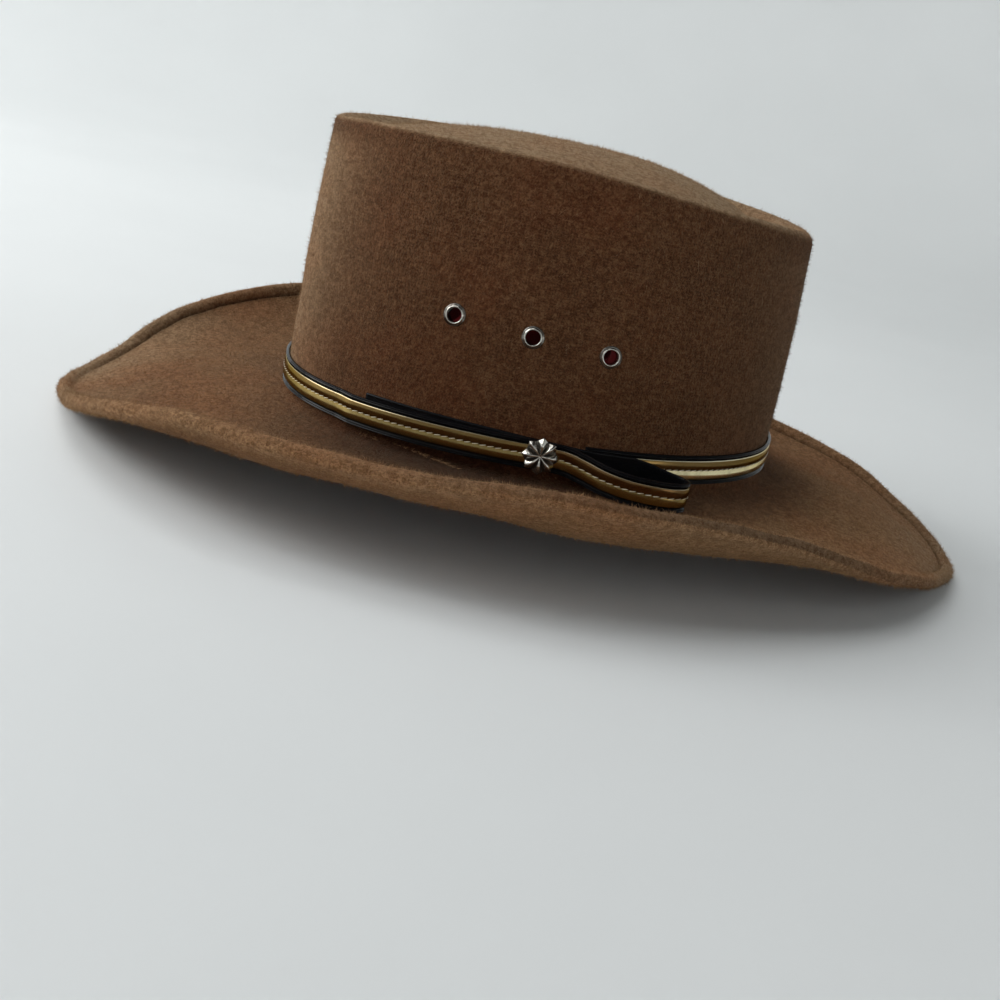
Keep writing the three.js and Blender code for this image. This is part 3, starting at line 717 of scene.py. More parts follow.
def felt_marks(points, rows):
    """Where painted light and painted sheen make the felt paler and olive, where painted shade darkens it,
    and where its groove, darkened with painted shade, and the crown's wall lie.
    """
    line_rows, fold_rows, total = rows
    angles = np.degrees(np.arctan2(points[..., 0], -points[..., 1])) % FULL_TURN
    row = np.broadcast_to(np.arange(total)[None, :], angles.shape)
    run = (row - CROWN_ROWS) / (line_rows - CROWN_ROWS)
    fold_row = (row - line_rows) / (fold_rows - 1)
    above_fold = row < line_rows
    on_fold = ((row >= line_rows) & (row < line_rows + fold_rows)).astype(float)
    on_brim = smoothstep(run, 0.1, 0.5) * above_fold
    under = (row >= line_rows + fold_rows * 0.8).astype(float)
    tips = smoothstep(np.linalg.norm(points[..., :2], axis=-1), *TIP_REACH)
    dome = smoothstep(CREST_ROW - 1 - row, 0, 3)
    crest = bell(row, CREST_ROW - 2, 1.3)
    wall = smoothstep(row, CREST_ROW + 2, CREST_ROW + 6)
    wall = wall * (1 - smoothstep(row, CROWN_ROWS - 3, CROWN_ROWS))
    back = zone(angles, BACK_HALF)
    front_tip = zone(angles, FRONT_TIP) * tips
    back_tip = zone(angles, BACK_TIP) * tips
    front_wall = 0.62 * zone(angles, FRONT_WALL) * wall
    front_foot = zone(angles, FRONT_FOOT) * bell(run, 0.2, 0.25) * above_fold
    shaggy = zone(angles, SHAGGY_EDGE) * on_fold
    outer_face = smoothstep(fold_row, 0.56, 0.62) * (1 - smoothstep(fold_row, 0.8, 0.95))
    # The groove mark paints shade into the shallow stitched groove.
    groove = on_fold * bell(fold_row, 0.14, 0.06) * (1 - 0.85 * zone(angles, GROOVELESS_TIP))
    trough = bell(row, DOME_STEPS + 8, 4.5) * zone(angles, BACK_TROUGH)
    shaded = smoothstep(run, -0.1, 0.02) * (1 - smoothstep(run, 0.22, 0.6)) * above_fold
    shaded = shaded * (0.15 + 0.85 * zone(angles, BAND_SHADE))
    shaded = shaded + 0.7 * shaggy * outer_face + 0.6 * trough
    # This mark paints light and sheen as paler tan felt: on the top, the rim and the crown's front edge
    # where light from above grazes, on the brim round the back where the light falls off, and on the fold
    # and the underside where bounce light from below is painted in.
    wear_and_painted_light = 0.85 * dome + 0.5 * crest + front_wall + 0.35 * front_tip + 0.35 * front_foot
    wear_and_painted_light = wear_and_painted_light + (0.36 + 0.55 * back) * on_brim + (0.5 + 0.4 * back) * on_fold
    # On the shaggy near edge: a painted highlight along the fold's ridge and painted shade on its outer
    # face.
    wear_and_painted_light = wear_and_painted_light + shaggy * (0.6 * bell(fold_row, 0.52, 0.04) - 0.5 * outer_face)
    wear_and_painted_light = wear_and_painted_light + 0.3 * zone(angles, FRONT_FOLD) * on_fold
    wear_and_painted_light = wear_and_painted_light + under * (0.55 + 0.45 * back + 0.6 * zone(angles, NEAR_EDGE))
    # This mark paints sheen as olive felt where light grazes: on the top, the rim, the tips, the crown's
    # front and back edges and the fold.
    painted_sheen = dome + 0.6 * crest + 0.7 * front_tip + 0.7 * back_tip + front_wall
    painted_sheen = painted_sheen + 0.45 * zone(angles, BACK_WALL) * wall + 0.25 * on_fold
    return {
        "wear_and_painted_light": np.clip(wear_and_painted_light, 0, 1),
        "groove": groove,
        "shaded": np.clip(shaded, 0, 1),
        "wall": wall,
        "painted_sheen": np.clip(painted_sheen, 0, 1),
    }


def felt_body(material):
    angles, sections, line_rows, fold_rows = felt_grid()
    total = sections.shape[1]
    points, faces = loft(sections, angles)
    grid = turned_points(angles[:, None], sections[..., 0], sections[..., 1])
    marks = felt_marks(grid, (line_rows, fold_rows, total))
    values = {}
    for name, shares in marks.items():
        ends = [shares[:, 0].mean(), shares[:, -1].mean()]
        values[name] = np.concatenate([ends, shares[:, 1:-1].ravel()])
    mesh = make_mesh("felt_hat_body", points, faces, values)
    piece = make_piece("felt_hat_body", mesh, material, ["felt_body"])
    for eyelet in eyelet_frames():
        cut_hole(piece, eyelet, EYELET_HOLE_RADIUS + EYELET_WALL + TRIM_GAP * 0.6)
    return (grid, marks), line_rows, fold_rows


PUNCH_SIDES = 40


def cut_hole(piece, place, bore):
    sides = PUNCH_SIDES
    turn = 2 * math.pi * np.arange(sides) / sides
    side, up = side_and_up(place)
    ring = bore * (np.cos(turn)[:, None] * side + np.sin(turn)[:, None] * up)
    depth = 3 * FELT_THICKNESS
    front = place["point"] + place["out"] * depth / 2 + ring
    back = place["point"] - place["out"] * depth / 2 + ring
    points = np.vstack([front, back])
    order = np.arange(sides)
    after = (order + 1) % sides
    walls = np.stack([order, after, after + sides, order + sides], axis=-1)
    caps = [order[None, ::-1], (order + sides)[None, :]]
    cutter = bpy.data.objects.new("eyelet_punch", make_mesh("eyelet_punch", points, [walls, *caps]))
    bpy.context.scene.collection.objects.link(cutter)
    punch = piece.modifiers.new("punch", "BOOLEAN")
    punch.operation = "DIFFERENCE"
    punch.object = cutter
    punch.solver = "MANIFOLD"
    apply_modifiers(piece)
    bpy.data.objects.remove(cutter, do_unlink=True)


def apply_modifiers(piece):
    graph = bpy.context.evaluated_depsgraph_get()
    shaped = bpy.data.meshes.new_from_object(piece.evaluated_get(graph))
    shaped.name = piece.data.name
    piece.modifiers.clear()
    piece.data = shaped


def side_and_up(place):
    up = place["up"]
    return unit(np.cross(up, place["out"])), up


# Wool nap: tiny closed spikes that lie on the felt, and longer stray hairs

NAP_SEED = 41
SCUFF_SEED = 61
HAIR_SEED = 50
# The felt's marks that the nap takes over: its painted light, its painted shade and its painted sheen.
CARRIED_MARKS = ("wear_and_painted_light", "shaded", "painted_sheen")
FIBRE_SINK = 0.12
SPIKE_TURNS = (0, 2.1, 4.2)
TIP_CLEARANCE = 0.05
FOOT_CLEARANCE = 0.02
HAIR_CLEARANCE = 0.12
EYELET_MARGIN = 0.5
BAND_MARGIN = 1.5
INNER_MARGIN = 12
BOW_MARGIN = 2.2
BOW_SEARCH = 9


def grid_normals(grid):
    around_hat = np.roll(grid, -1, axis=0) - np.roll(grid, 1, axis=0)
    outwards = np.gradient(grid, axis=1)
    return unit(np.cross(outwards, around_hat)), unit(outwards), unit(around_hat)


def fibre_roots(grid, marks, rows, count, rng):
    """Random places on some rows of the felt: point, outward normal, the ways along the felt, and marks."""
    normals, down, side = grid_normals(grid)
    one = grid[:, rows]
    two = np.roll(grid, -1, axis=0)[:, rows]
    three = grid[:, rows + 1]
    area = np.linalg.norm(np.cross(two - one, three - one), axis=-1)
    chance = np.cumsum(area.ravel())
    pick = np.searchsorted(chance, rng.uniform(0, chance[-1], count))
    station, row = np.divmod(pick, len(rows))
    row = rows[row]
    after = (station + 1) % grid.shape[0]
    u = rng.uniform(size=(count, 1))
    v = rng.uniform(size=(count, 1))

    def blend(values):
        near = values[station, row] * (1 - v) + values[station, row + 1] * v
        far = values[after, row] * (1 - v) + values[after, row + 1] * v
        return near * (1 - u) + far * u

    carried = {key: marks[key][station, row] for key in CARRIED_MARKS}
    return blend(grid), unit(blend(normals)), unit(blend(down)), unit(blend(side)), carried


def clear_of_trims(points):
    """True where no band, star or eyelet lies on the felt."""
    angles = np.degrees(np.arctan2(points[:, 0], -points[:, 1])) % FULL_TURN
    radius = np.linalg.norm(points[:, :2], axis=1)
    low = break_height(angles) + BAND_LIFT - BAND_DIP
    high = low + BAND_WIDTH + BAND_DIP + TAIL_LIFT * 0.5
    outside = radius > wall_radius(angles, 0.5) - INNER_MARGIN
    close = radius < wall_radius(angles, 0.0) + BAND_MARGIN
    on_band = (points[:, 2] > low) & (points[:, 2] < high) & close
    keep = ~(on_band & outside)
    for eyelet in eyelet_frames():
        keep &= np.linalg.norm(points - eyelet["point"], axis=1) > EYELET_FLANGE_RADIUS + EYELET_MARGIN
    bow = bow_places()[0]
    low, high = bow.min(axis=0) - BOW_SEARCH, bow.max(axis=0) + BOW_SEARCH
    close = np.all((points > low) & (points < high), axis=1)
    flat = points[close][:, None, :2] - bow[None, :, :2]
    keep[close] &= np.linalg.norm(flat, axis=-1).min(axis=1) > BOW_MARGIN
    return keep


def nap_piece(name, felt, rows, part, material, seed):
    rng = np.random.default_rng(seed)
    root, normal, down, side, carried = fibre_roots(*felt, rows, part["count"], rng)
    keep = clear_of_trims(root)
    root, normal, down, side = root[keep], normal[keep], down[keep], side[keep]
    count = len(root)
    size = rng.uniform(*part["length"], (count, 1)) * rng.uniform(0.5, 1, (count, 1))
    lean = np.radians(rng.uniform(*part["lie"], (count, 1)))
    comb = rng.uniform(0, 2 * math.pi, (count, 1))
    flat = down * np.cos(comb) + side * np.sin(comb)
    way = unit(normal * np.cos(lean) + flat * np.sin(lean))
    across = unit(np.cross(way, normal + 0.01 * side))
    thick = np.cross(way, across)
    breadth = rng.uniform(*part["width"], (count, 1))
    values = {key: value[keep] for key, value in carried.items()}
    values["tint"] = rng.uniform(size=count)
    foot = root - normal * FIBRE_SINK
    spikes(name, foot, root + way * size, (across, thick), breadth, values, material)


def spikes(name, foot, tip, ways, breadth, values, material):
    """Closed three-sided spikes from foot to tip, each with its own values."""
    across, thick = ways
    count = len(foot)
    for line in (tip, foot):
        line[:, 2] = np.maximum(line[:, 2], TIP_CLEARANCE)
    corners = [foot + breadth * (math.cos(t) * across + math.sin(t) * thick) for t in SPIKE_TURNS]
    for corner in corners:
        corner[:, 2] = np.maximum(corner[:, 2], FOOT_CLEARANCE)
    points = np.stack([*corners, tip], axis=1).reshape(-1, 3)
    base = np.arange(count)[:, None] * 4
    sides = ((0, 2, 1), (0, 1, 3), (1, 2, 3), (2, 0, 3))
    faces = np.concatenate([base + np.array(side) for side in sides])
    values = {key: np.repeat(value, 4) for key, value in values.items()}
    values["tip"] = np.tile([0.0, 0.0, 0.0, 1.0], count)
    mesh = make_mesh(name, points, [faces], values)
    make_piece(name, mesh, material, smooth=False)


HAIR_COUNT = 1800
HAIR_STEPS = 5
HAIR = {"curl": (-2.2, 2.2), "length": (2.0, 5.0), "lift": (0.05, 0.55), "width": (0.07, 0.11)}


def stray_hairs(felt, rows, material):
    name = "stray_wool_hairs"
    count = HAIR_COUNT
    rng = np.random.default_rng(HAIR_SEED)
    root, normal, down, side, carried = fibre_roots(*felt, rows, count, rng)
    keep = clear_of_trims(root)
    root, normal, down, side = root[keep], normal[keep], down[keep], side[keep]
    count = len(root)
    steps = HAIR_STEPS
    comb = rng.uniform(0, 2 * math.pi, (count, 1))
    curl = rng.uniform(*HAIR["curl"], (count, 1))
    size = rng.uniform(*HAIR["length"], (count, 1))
    lift = rng.uniform(*HAIR["lift"], (count, 1))
    centre = [root - normal * FIBRE_SINK]
    for step in range(steps):
        share = step / (steps - 1)
        turn = comb + curl * share
        flat = down * np.cos(turn) + side * np.sin(turn)
        rise = lift * math.cos(share * math.pi * 0.8)
        centre.append(centre[-1] + unit(flat + normal * rise) * size / steps)
    breadth = rng.uniform(*HAIR["width"], (count, 1))
    rings = []
    for index, point in enumerate(centre):
        point[:, 2] = np.maximum(point[:, 2], HAIR_CLEARANCE)
        reach = breadth * (1 - 0.7 * index / steps)
        rings.append([point + reach * (math.cos(t) * side + math.sin(t) * normal) for t in SPIKE_TURNS])
    points = np.stack([corner for ring in rings for corner in ring], axis=1).reshape(-1, 3)
    base = np.arange(count)[:, None] * 3 * len(centre)
    quads = []
    for ring in range(len(centre) - 1):
        for corner in range(3):
            after = (corner + 1) % 3
            face = (ring * 3 + corner, ring * 3 + after, ring * 3 + 3 + after, ring * 3 + 3 + corner)
            quads.append(base + np.array(face))
    last = 3 * (len(centre) - 1)
    caps = np.concatenate([base + np.array([0, 2, 1]), base + np.array([last, last + 1, last + 2])])
    values = {key: np.repeat(value[keep], 3 * len(centre)) for key, value in carried.items()}
    values["tint"] = np.repeat(rng.uniform(0.75, 1, count), 3 * len(centre))
    values["tip"] = np.ones(count * 3 * len(centre))
    mesh = make_mesh(name, points, [np.concatenate(quads), caps], values)
    make_piece(name, mesh, material, smooth=False)


# A pale line of roughed-up fibres on the brim in front of the band, in plan: a wide start, then a thin
# and broken run
SCUFF_TRACE = [(69.8, -65.3), (72.9, -59.8), (81.0, -41.6), (87.2, -23.4)]
SCUFF_COUNT = 520
SCUFF_START = 0.2
SCUFF_WIDE = 0.55
SCUFF_THIN = 0.2
SCUFF_BREAK = -1.3
SCUFF_STEP = 0.5
SCUFF = {"lift": (0.05, 0.35), "length": (0.8, 1.9), "width": (0.07, 0.11)}


def pale_scuff(felt, line_rows, material):
    rng = np.random.default_rng(SCUFF_SEED)
    grid, _ = felt
    rows = slice(BRIM_START_ROW - 4, line_rows - 2)
    normals = grid_normals(grid)[0][:, rows].reshape(-1, 3)
    brim = grid[:, rows].reshape(-1, 3)
    trace = even_path(np.array(SCUFF_TRACE), SCUFF_STEP)
    pick = rng.integers(0, len(trace) - 1, SCUFF_COUNT)
    share = pick / len(trace)
    broken = np.sin(share * 70) + np.sin(share * 31 + 1)
    spread = np.where(share < SCUFF_START, SCUFF_WIDE, SCUFF_THIN)
    keep = (broken > SCUFF_BREAK) | (share < SCUFF_START)
    pick, spread = pick[keep], spread[keep]
    count = len(pick)
    place = trace[pick] + rng.normal(size=(count, 2)) * spread[:, None]
    ahead = trace[pick + 1] - trace[pick]
    near = np.array([np.argmin(np.sum((brim[:, :2] - spot) ** 2, axis=1)) for spot in place])
    normal = normals[near]
    rise = np.sum(normal[:, :2] * (place - brim[near, :2]), axis=1) / normal[:, 2]
    root = np.column_stack([place, brim[near, 2] - rise])
    turn = rng.normal(size=count) * 0.5 + np.arctan2(ahead[:, 1], ahead[:, 0])
    flat = np.column_stack([np.cos(turn), np.sin(turn), np.zeros(count)])
    flat = unit(flat - normal * np.sum(flat * normal, axis=1)[:, None])
    way = unit(flat + normal * rng.uniform(*SCUFF["lift"], (count, 1)))
    across = unit(np.cross(way, normal))
    ways = (across, np.cross(way, across))
    size = rng.uniform(*SCUFF["length"], (count, 1))
    breadth = rng.uniform(*SCUFF["width"], (count, 1))
    # The scuff's fibres are paler tan with wear, and take half the painted sheen.
    values = {"tint": np.ones(count), "wear_and_painted_light": np.ones(count), "painted_sheen": np.full(count, 0.5)}
    foot = root - normal * FIBRE_SINK
    spikes("pale_felt_scuff", foot, root + way * size, ways, breadth, values, material)


# How thick the nap is in each part of the felt, and how long, wide and flat its fibres lie
NAP_PARTS = {
    "wool_nap_crown": {"count": 41000, "length": (1.0, 2.6), "width": (0.06, 0.1), "lie": (8, 78)},
    "wool_nap_brim_top": {"count": 36000, "length": (1.2, 2.8), "width": (0.07, 0.12), "lie": (40, 80)},
    "wool_nap_fold": {"count": 34000, "length": (1.0, 2.7), "width": (0.06, 0.1), "lie": (10, 72)},
    "wool_nap_underside": {"count": 20000, "length": (1.2, 2.8), "width": (0.07, 0.12), "lie": (30, 78)},
}


def wool_nap(felt, line_rows, fold_rows, material):
    lower_row = line_rows + fold_rows
    rows = {
        "wool_nap_crown": np.arange(2, CROWN_ROWS),
        "wool_nap_brim_top": np.arange(CROWN_ROWS, line_rows - 1),
        "wool_nap_fold": np.arange(line_rows - 1, lower_row),
        "wool_nap_underside": np.arange(lower_row, lower_row + BRIM_STEPS),
    }
    for index, (name, part) in enumerate(NAP_PARTS.items()):
        nap_piece(name, felt, rows[name], part, material, NAP_SEED + index)
    pale_scuff(felt, line_rows, material)
    upper = np.arange(2, lower_row)
    stray_hairs(felt, upper, material)


# Lining

LINING_PLEAT = 0.35
LINING_WALL_STEPS = 26
PLEAT_COUNT = 56
PLEAT_DRIFT = 5

# The lining's cut behind each eyelet, from its middle. Where it misses, red cloth shows.
LINING_HOLES = [
    {"side": -2.8, "up": 1.0, "radius": 3.8},
    {"side": 0.0, "up": -1.4, "radius": 4.4},
    {"side": -3.0, "up": 1.2, "radius": 3.7},
]


def lining_section(angles):
    """The lining in section: up its outer side to the top, and back down its inner side."""
    line, _ = upper_side(angles)
    top_rows = DOME_STEPS + 3
    angle = angles[:, None]
    hem = break_height(angle) + LINING_HEM_HEIGHT
    inner = line - outward(line) * FELT_THICKNESS

    def side(depth, hem_depth, pleat):
        normal = outward(inner)
        top = (inner - normal * depth)[:, :top_rows]
        shoulder = top[:, -1:, 1] - crest_roll(angle)
        share = np.linspace(0, 1, LINING_WALL_STEPS)[None, :]
        height = shoulder + (hem - shoulder) * share
        wall_share = (height - wall_foot(angle)) / (wall_top(angle) - wall_foot(angle))
        gap = depth + (hem_depth - depth) * smoothstep(share, 0.9, 1)
        gap = gap + pleat * np.sin(math.pi * share) ** 0.5
        wall = pair(wall_radius(angle, wall_share) - FELT_THICKNESS - gap, height)
        return np.concatenate([top, wall], axis=1)

    turn = np.radians(angles)
    fine = np.sin(turn * PLEAT_COUNT + 1.5 * np.sin(turn * PLEAT_DRIFT))
    pleat = (LINING_PLEAT * (0.5 + 0.5 * fine) ** 2)[:, None]
    outside = side(LINING_GAP, HEM_GAP, pleat)
    inside = side(LINING_GAP + LINING_THICKNESS, HEM_GAP + LINING_THICKNESS, pleat)
    for shell in (outside, inside):
        shell[:, 0, 0] = 0
        shell[:, 0, 1] = shell[:, 0, 1].mean()
    return np.concatenate([outside, inside[:, ::-1]], axis=1)


def red_lining(material):
    angles = FULL_TURN * np.arange(LINING_STATIONS) / LINING_STATIONS
    points, faces = loft(lining_section(angles), angles)
    mesh = make_mesh("gathered_lining", points, faces)
    piece = make_piece("gathered_lining", mesh, material, ["lining"])
    for place, hole in zip(eyelet_frames(), LINING_HOLES):
        side, up = side_and_up(place)
        middle = place["point"] - place["out"] * (FELT_THICKNESS + LINING_GAP)
        middle = middle + side * hole["side"] + up * hole["up"]
        cut_hole(piece, {**place, "point": middle}, hole["radius"])


# Band and bow

STRIP_THICKNESS = BACKING_THICKNESS + TRIM_GAP + GOLD_THICKNESS
LAYER_PITCH = STRIP_THICKNESS + TRIM_GAP
PILLOW_RISE = 0.32
VALLEY_DEPTH = 0.06
EDGE_DROP = 0.2
GOLD_POINTS = 27
OUTER_RIB = 0.16
INNER_RIB = 0.12
BAND_BACK_POINTS = 7
BOW_BACK_POINTS = 23
BAND_POINTS = 400
BOW_STEPS = 24

# One edge of the black backing in section, from the back round two glossy ridges to the bed: in from the
# edge as a share of PIPING_WIDTH, and above the back as a share of PIPING_HEIGHT.
PIPING_ROWS = [
    {"inset": 0.04, "height": 0},
    {"inset": -0.02, "height": 0.3},
    {"inset": -0.01, "height": 0.62},
    {"inset": 0.03, "height": 0.86},
    {"inset": 0.09, "height": 0.97},
    {"inset": 0.16, "height": 0.99},
    {"inset": 0.24, "height": 0.92},
    {"inset": 0.32, "height": 0.8},
    {"inset": 0.39, "height": 0.8},
    {"inset": 0.46, "height": 0.91},
    {"inset": 0.54, "height": 1},
    {"inset": 0.63, "height": 0.97},
    {"inset": 0.73, "height": 0.85},
    {"inset": 0.85, "height": 0.7},
    {"inset": 0.95, "height": 0.58},
    {"inset": 1, "height": 0.5},
]


def strip_place(angles, layer, lift=0.0):
    angles = np.asarray(angles, float)
    dip = BAND_DIP * np.maximum(np.cos(np.radians(angles - BAND_DIP_ANGLE)), 0) ** BAND_DIP_FOCUS
    middle = break_height(angles) + BAND_LIFT - dip + BAND_WIDTH / 2 + lift
    place = wall_frame(angles, middle)
    depth = TRIM_GAP + STRIP_THICKNESS / 2 + LAYER_PITCH * np.asarray(layer, float)
    return place["point"] + place["out"] * depth[..., None], place["up"]


def backing_outline(back_points):
    edge = BAND_WIDTH / 2
    back = -STRIP_THICKNESS / 2
    side = np.stack([
        edge - PIPING_WIDTH * column(PIPING_ROWS, "inset"),
        back + PIPING_HEIGHT * column(PIPING_ROWS, "height"),
    ], axis=-1)
    other = side[::-1] * [-1, 1]
    across = np.linspace(-1, 1, back_points + 2)[1:-1]
    ribs = OUTER_RIB * bell(np.abs(across), 0.9, 0.07) + INNER_RIB * bell(np.abs(across), 0.68, 0.06)
    underneath = np.stack([edge * across, back - ribs], axis=-1)
    return np.vstack([side, other, underneath])


def gold_outline():
    """The gold strip in section: two pillowed halves with a stitched valley, and a flat back."""
    edge = BAND_WIDTH / 2 - PIPING_WIDTH - TRIM_GAP * 0.4
    face = STRIP_THICKNESS / 2
    across = np.linspace(1, -1, GOLD_POINTS)
    pillow = bell(np.abs(across), 0.5, 0.42)
    height = face - PILLOW_RISE + PILLOW_RISE * pillow - VALLEY_DEPTH * bell(across, 0, 0.05)
    height = height - EDGE_DROP * np.abs(across) ** 14
    top = np.stack([edge * across, height], axis=-1)
    back = np.array([[-edge, face - GOLD_THICKNESS - 0.1], [edge, face - GOLD_THICKNESS - 0.1]])
    return np.vstack([top, back])


def band_places():
    last = CONCHO_ANGLE + FULL_TURN - TRIM_GAP
    angles = np.linspace(BAND_START, last, BAND_POINTS)
    overlap = OVERLAP_START + FULL_TURN
    position, up = strip_place(angles, smoothstep(angles, overlap, overlap + OVERLAP_RUN))
    return even_path(position, STRIP_STEP, up)


def bow_places():
    start, start_up = strip_place(CONCHO_ANGLE, 1)
    next_place, _ = strip_place(CONCHO_ANGLE + 1, 1)
    ahead = unit((next_place - start) * [1, 1, 0])
    out = np.array([ahead[1], -ahead[0], 0.0])
    points = [start]
    ups = [start_up]
    for row in BOW_ROWS:
        point = start + ahead * BOW_LENGTH * row["along"] + out * BOW_OUT * row["out"]
        points.append(point - [0, 0, BOW_DROP * row["drop"]])
        ups.append(np.array([0.0, 0.0, 1.0]))
    for row in TAIL_ROWS:
        point, up = strip_place(row["at"], row["layer"], TAIL_LIFT * row["lift"])
        points.append(point)
        ups.append(up)
    path = smooth_path(points, BOW_STEPS)
    at = np.linspace(0, len(ups) - 1, len(path))
    lean = np.column_stack([np.interp(at, np.arange(len(ups)), np.array(ups)[:, axis]) for axis in range(3)])
    return even_path(path, STRIP_STEP, lean)


def strip_axes(path, ups):
    """The ways out of the strip's face and up across it, at each point of its path."""
    along = unit(np.gradient(path, axis=0))
    out = unit(np.cross(along, ups))
    return out, np.cross(out, along)


def sweep(name, places, outline, material, stands_for, surface):
    """A strip along places. surface moves and marks its points from the way along and across it."""
    path, ups = places
    out, up = strip_axes(path, ups)
    steps = np.arange(len(path)) * STRIP_STEP
    across = outline[:, 0][None, :] + 0 * steps[:, None]
    height = outline[:, 1][None, :] + surface(steps[:, None], across)
    points = path[:, None] + up[:, None] * across[..., None] + out[:, None] * height[..., None]
    count = outline.shape[0]
    quads = grid_faces(len(path), count, closed=False)
    seam_one = np.arange(len(path) - 1) * count
    seam = np.stack([seam_one + count - 1, seam_one, seam_one + count, seam_one + 2 * count - 1], axis=-1)
    last = (len(path) - 1) * count
    ends = [np.arange(count)[None, ::-1], (np.arange(count) + last)[None, :]]
    values = {
        "across": across / (BAND_WIDTH / 2),
        "painted_reflection": np.broadcast_to(painted_reflection_share(path)[:, None], across.shape),
        "russet": np.full(across.shape, float(name.startswith("bow"))),
    }
    mesh = make_mesh(name, points.reshape(-1, 3), [quads, seam, *ends], values)
    make_piece(name, mesh, material, stands_for)


# The reach of the painted reflection on the gold strip: the angles where it begins and ends, and how far out
# from the crown it stays.
BRIGHT_START = (103, 125)
BRIGHT_END = (250, 320)
BRIGHT_REACH = 6


def painted_reflection_share(path):
    """Where a painted reflection makes the gold strip's lower half palest: behind the bow and round the
    back.
    """
    angles = np.degrees(np.arctan2(path[:, 0], -path[:, 1])) % FULL_TURN
    close = np.linalg.norm(path[:, :2], axis=1) < wall_radius(angles, 0.0) + BRIGHT_REACH
    return smoothstep(angles, *BRIGHT_START) * (1 - smoothstep(angles, *BRIGHT_END)) * close


def calm(steps, across):
    return 0 * steps * across


def stitched(steps, across):
    """The gold dips at each stitch and puckers a little between them."""
    pull = 0.5 + 0.5 * np.cos(2 * math.pi * steps / STITCH_PITCH)
    face = (np.abs(across) < BAND_WIDTH / 2 - PIPING_WIDTH - 0.6).astype(float)
    pucker = 0.02 * np.sin(2 * math.pi * steps / STITCH_PITCH + 0.6) * bell(np.abs(across), 0.7, 0.5)
    wander = 0.035 * np.sin(steps / 9.0) * np.sin(steps / 3.7 + 1.0) * bell(np.abs(across), 1.8, 1.1)
    return face * (-0.05 * pull * bell(across, 0, 0.45) + pucker + wander)


STITCH_RADIUS = 0.12
STITCH_LENGTH = 2.6
STITCH_SLANT = 0.32
SLANT_CHANGE = 0.05
STITCH_SINK = 0.36
STITCHES_START = 1.0
STITCH_SIDES = 6
STITCH_RINGS = 7
THREAD_SEED = 23


def stitches(name, places, reach, material):
    """A row of thread stitches in the valley of the gold strip, from one length along it to another."""
    path, ups = places
    out, up = strip_axes(path, ups)
    rng = np.random.default_rng(THREAD_SEED)
    face = STRIP_THICKNESS / 2
    sides = STITCH_SIDES
    rings = STITCH_RINGS
    points = []
    faces = []
    starts = np.arange(reach[0], reach[1], STITCH_PITCH)
    for number, start in enumerate(starts):
        slant = STITCH_SLANT + rng.uniform(-SLANT_CHANGE, SLANT_CHANGE)
        for ring in range(rings):
            share = ring / (rings - 1)
            at = (start + STITCH_LENGTH * share) / STRIP_STEP
            spot = min(int(round(at)), len(path) - 1)
            centre = np.array([np.interp(at, np.arange(len(path)), path[:, axis]) for axis in range(3)])
            arch = math.sin(math.pi * share)
            height = face - STITCH_SINK + STITCH_SINK * arch ** 0.7
            centre = centre + out[spot] * height + up[spot] * slant * (share - 0.5) * 1.6
            radius = STITCH_RADIUS * (0.35 + 0.65 * arch ** 0.5)
            for side in range(sides):
                turn = 2 * math.pi * side / sides
                points.append(centre + radius * (math.cos(turn) * up[spot] + math.sin(turn) * out[spot]))
        base = number * sides * rings
        faces.append(grid_faces(rings, sides, base, closed=False))
        one = base + np.arange(rings - 1) * sides
        faces.append(np.stack([one + sides - 1, one, one + sides, one + 2 * sides - 1], axis=-1))
    quads = np.concatenate(faces)
    base = np.arange(len(starts))[:, None] * sides * rings
    caps = np.concatenate([base + np.arange(sides)[::-1], base + sides * (rings - 1) + np.arange(sides)])
    mesh = make_mesh(name, np.array(points), [quads, caps])
    make_piece(name, mesh, material)


def band_and_bow(vinyl, gold, thread):
    band = band_places()
    bow = bow_places()
    band_back = backing_outline(BAND_BACK_POINTS)
    bow_back = backing_outline(BOW_BACK_POINTS)
    sweep("band_black_backing", band, band_back, vinyl, ["band_backing"], calm)
    sweep("band_gold", band, gold_outline(), gold, ["band_gold_strip"], stitched)
    sweep("bow_black_backing", bow, bow_back, vinyl, ["bow_backing"], calm)
    sweep("bow_gold", bow, gold_outline(), gold, ["bow_gold_strip"], stitched)
    for name, places in (("band_stitches", band), ("bow_stitches", bow)):
        length = (len(places[0]) - 1) * STRIP_STEP
        stitches(name, places, (STITCHES_START, length - STITCH_PITCH), thread)


# Star concho and eyelets

def metal_place(local, place, depth=0.0):
    """Points given across, up and out of the wall, set at a place on it."""
    side, up = side_and_up(place)
    return place["point"] + local[:, :1] * side + local[:, 1:2] * up + (local[:, 2:] + depth) * place["out"]


CONCHO_RINGS = (0.06, 0.12, 0.2, 0.3, 0.4, 0.5, 0.6, 0.7, 0.78, 0.86, 0.92, 0.97, 1.0)
CONCHO_NOTCH = 0.19
RIDGE_POINTS = 20

# The star's ridges in section from its middle to a point, as shares of its radius and its rise.
CONCHO_ROWS = [
    {"at": 0, "height": 0.4},
    {"at": 0.12, "height": 0.52},
    {"at": 0.3, "height": 0.82},
    {"at": 0.55, "height": 1},
    {"at": 0.8, "height": 0.8},
    {"at": 1, "height": 0.34},
]


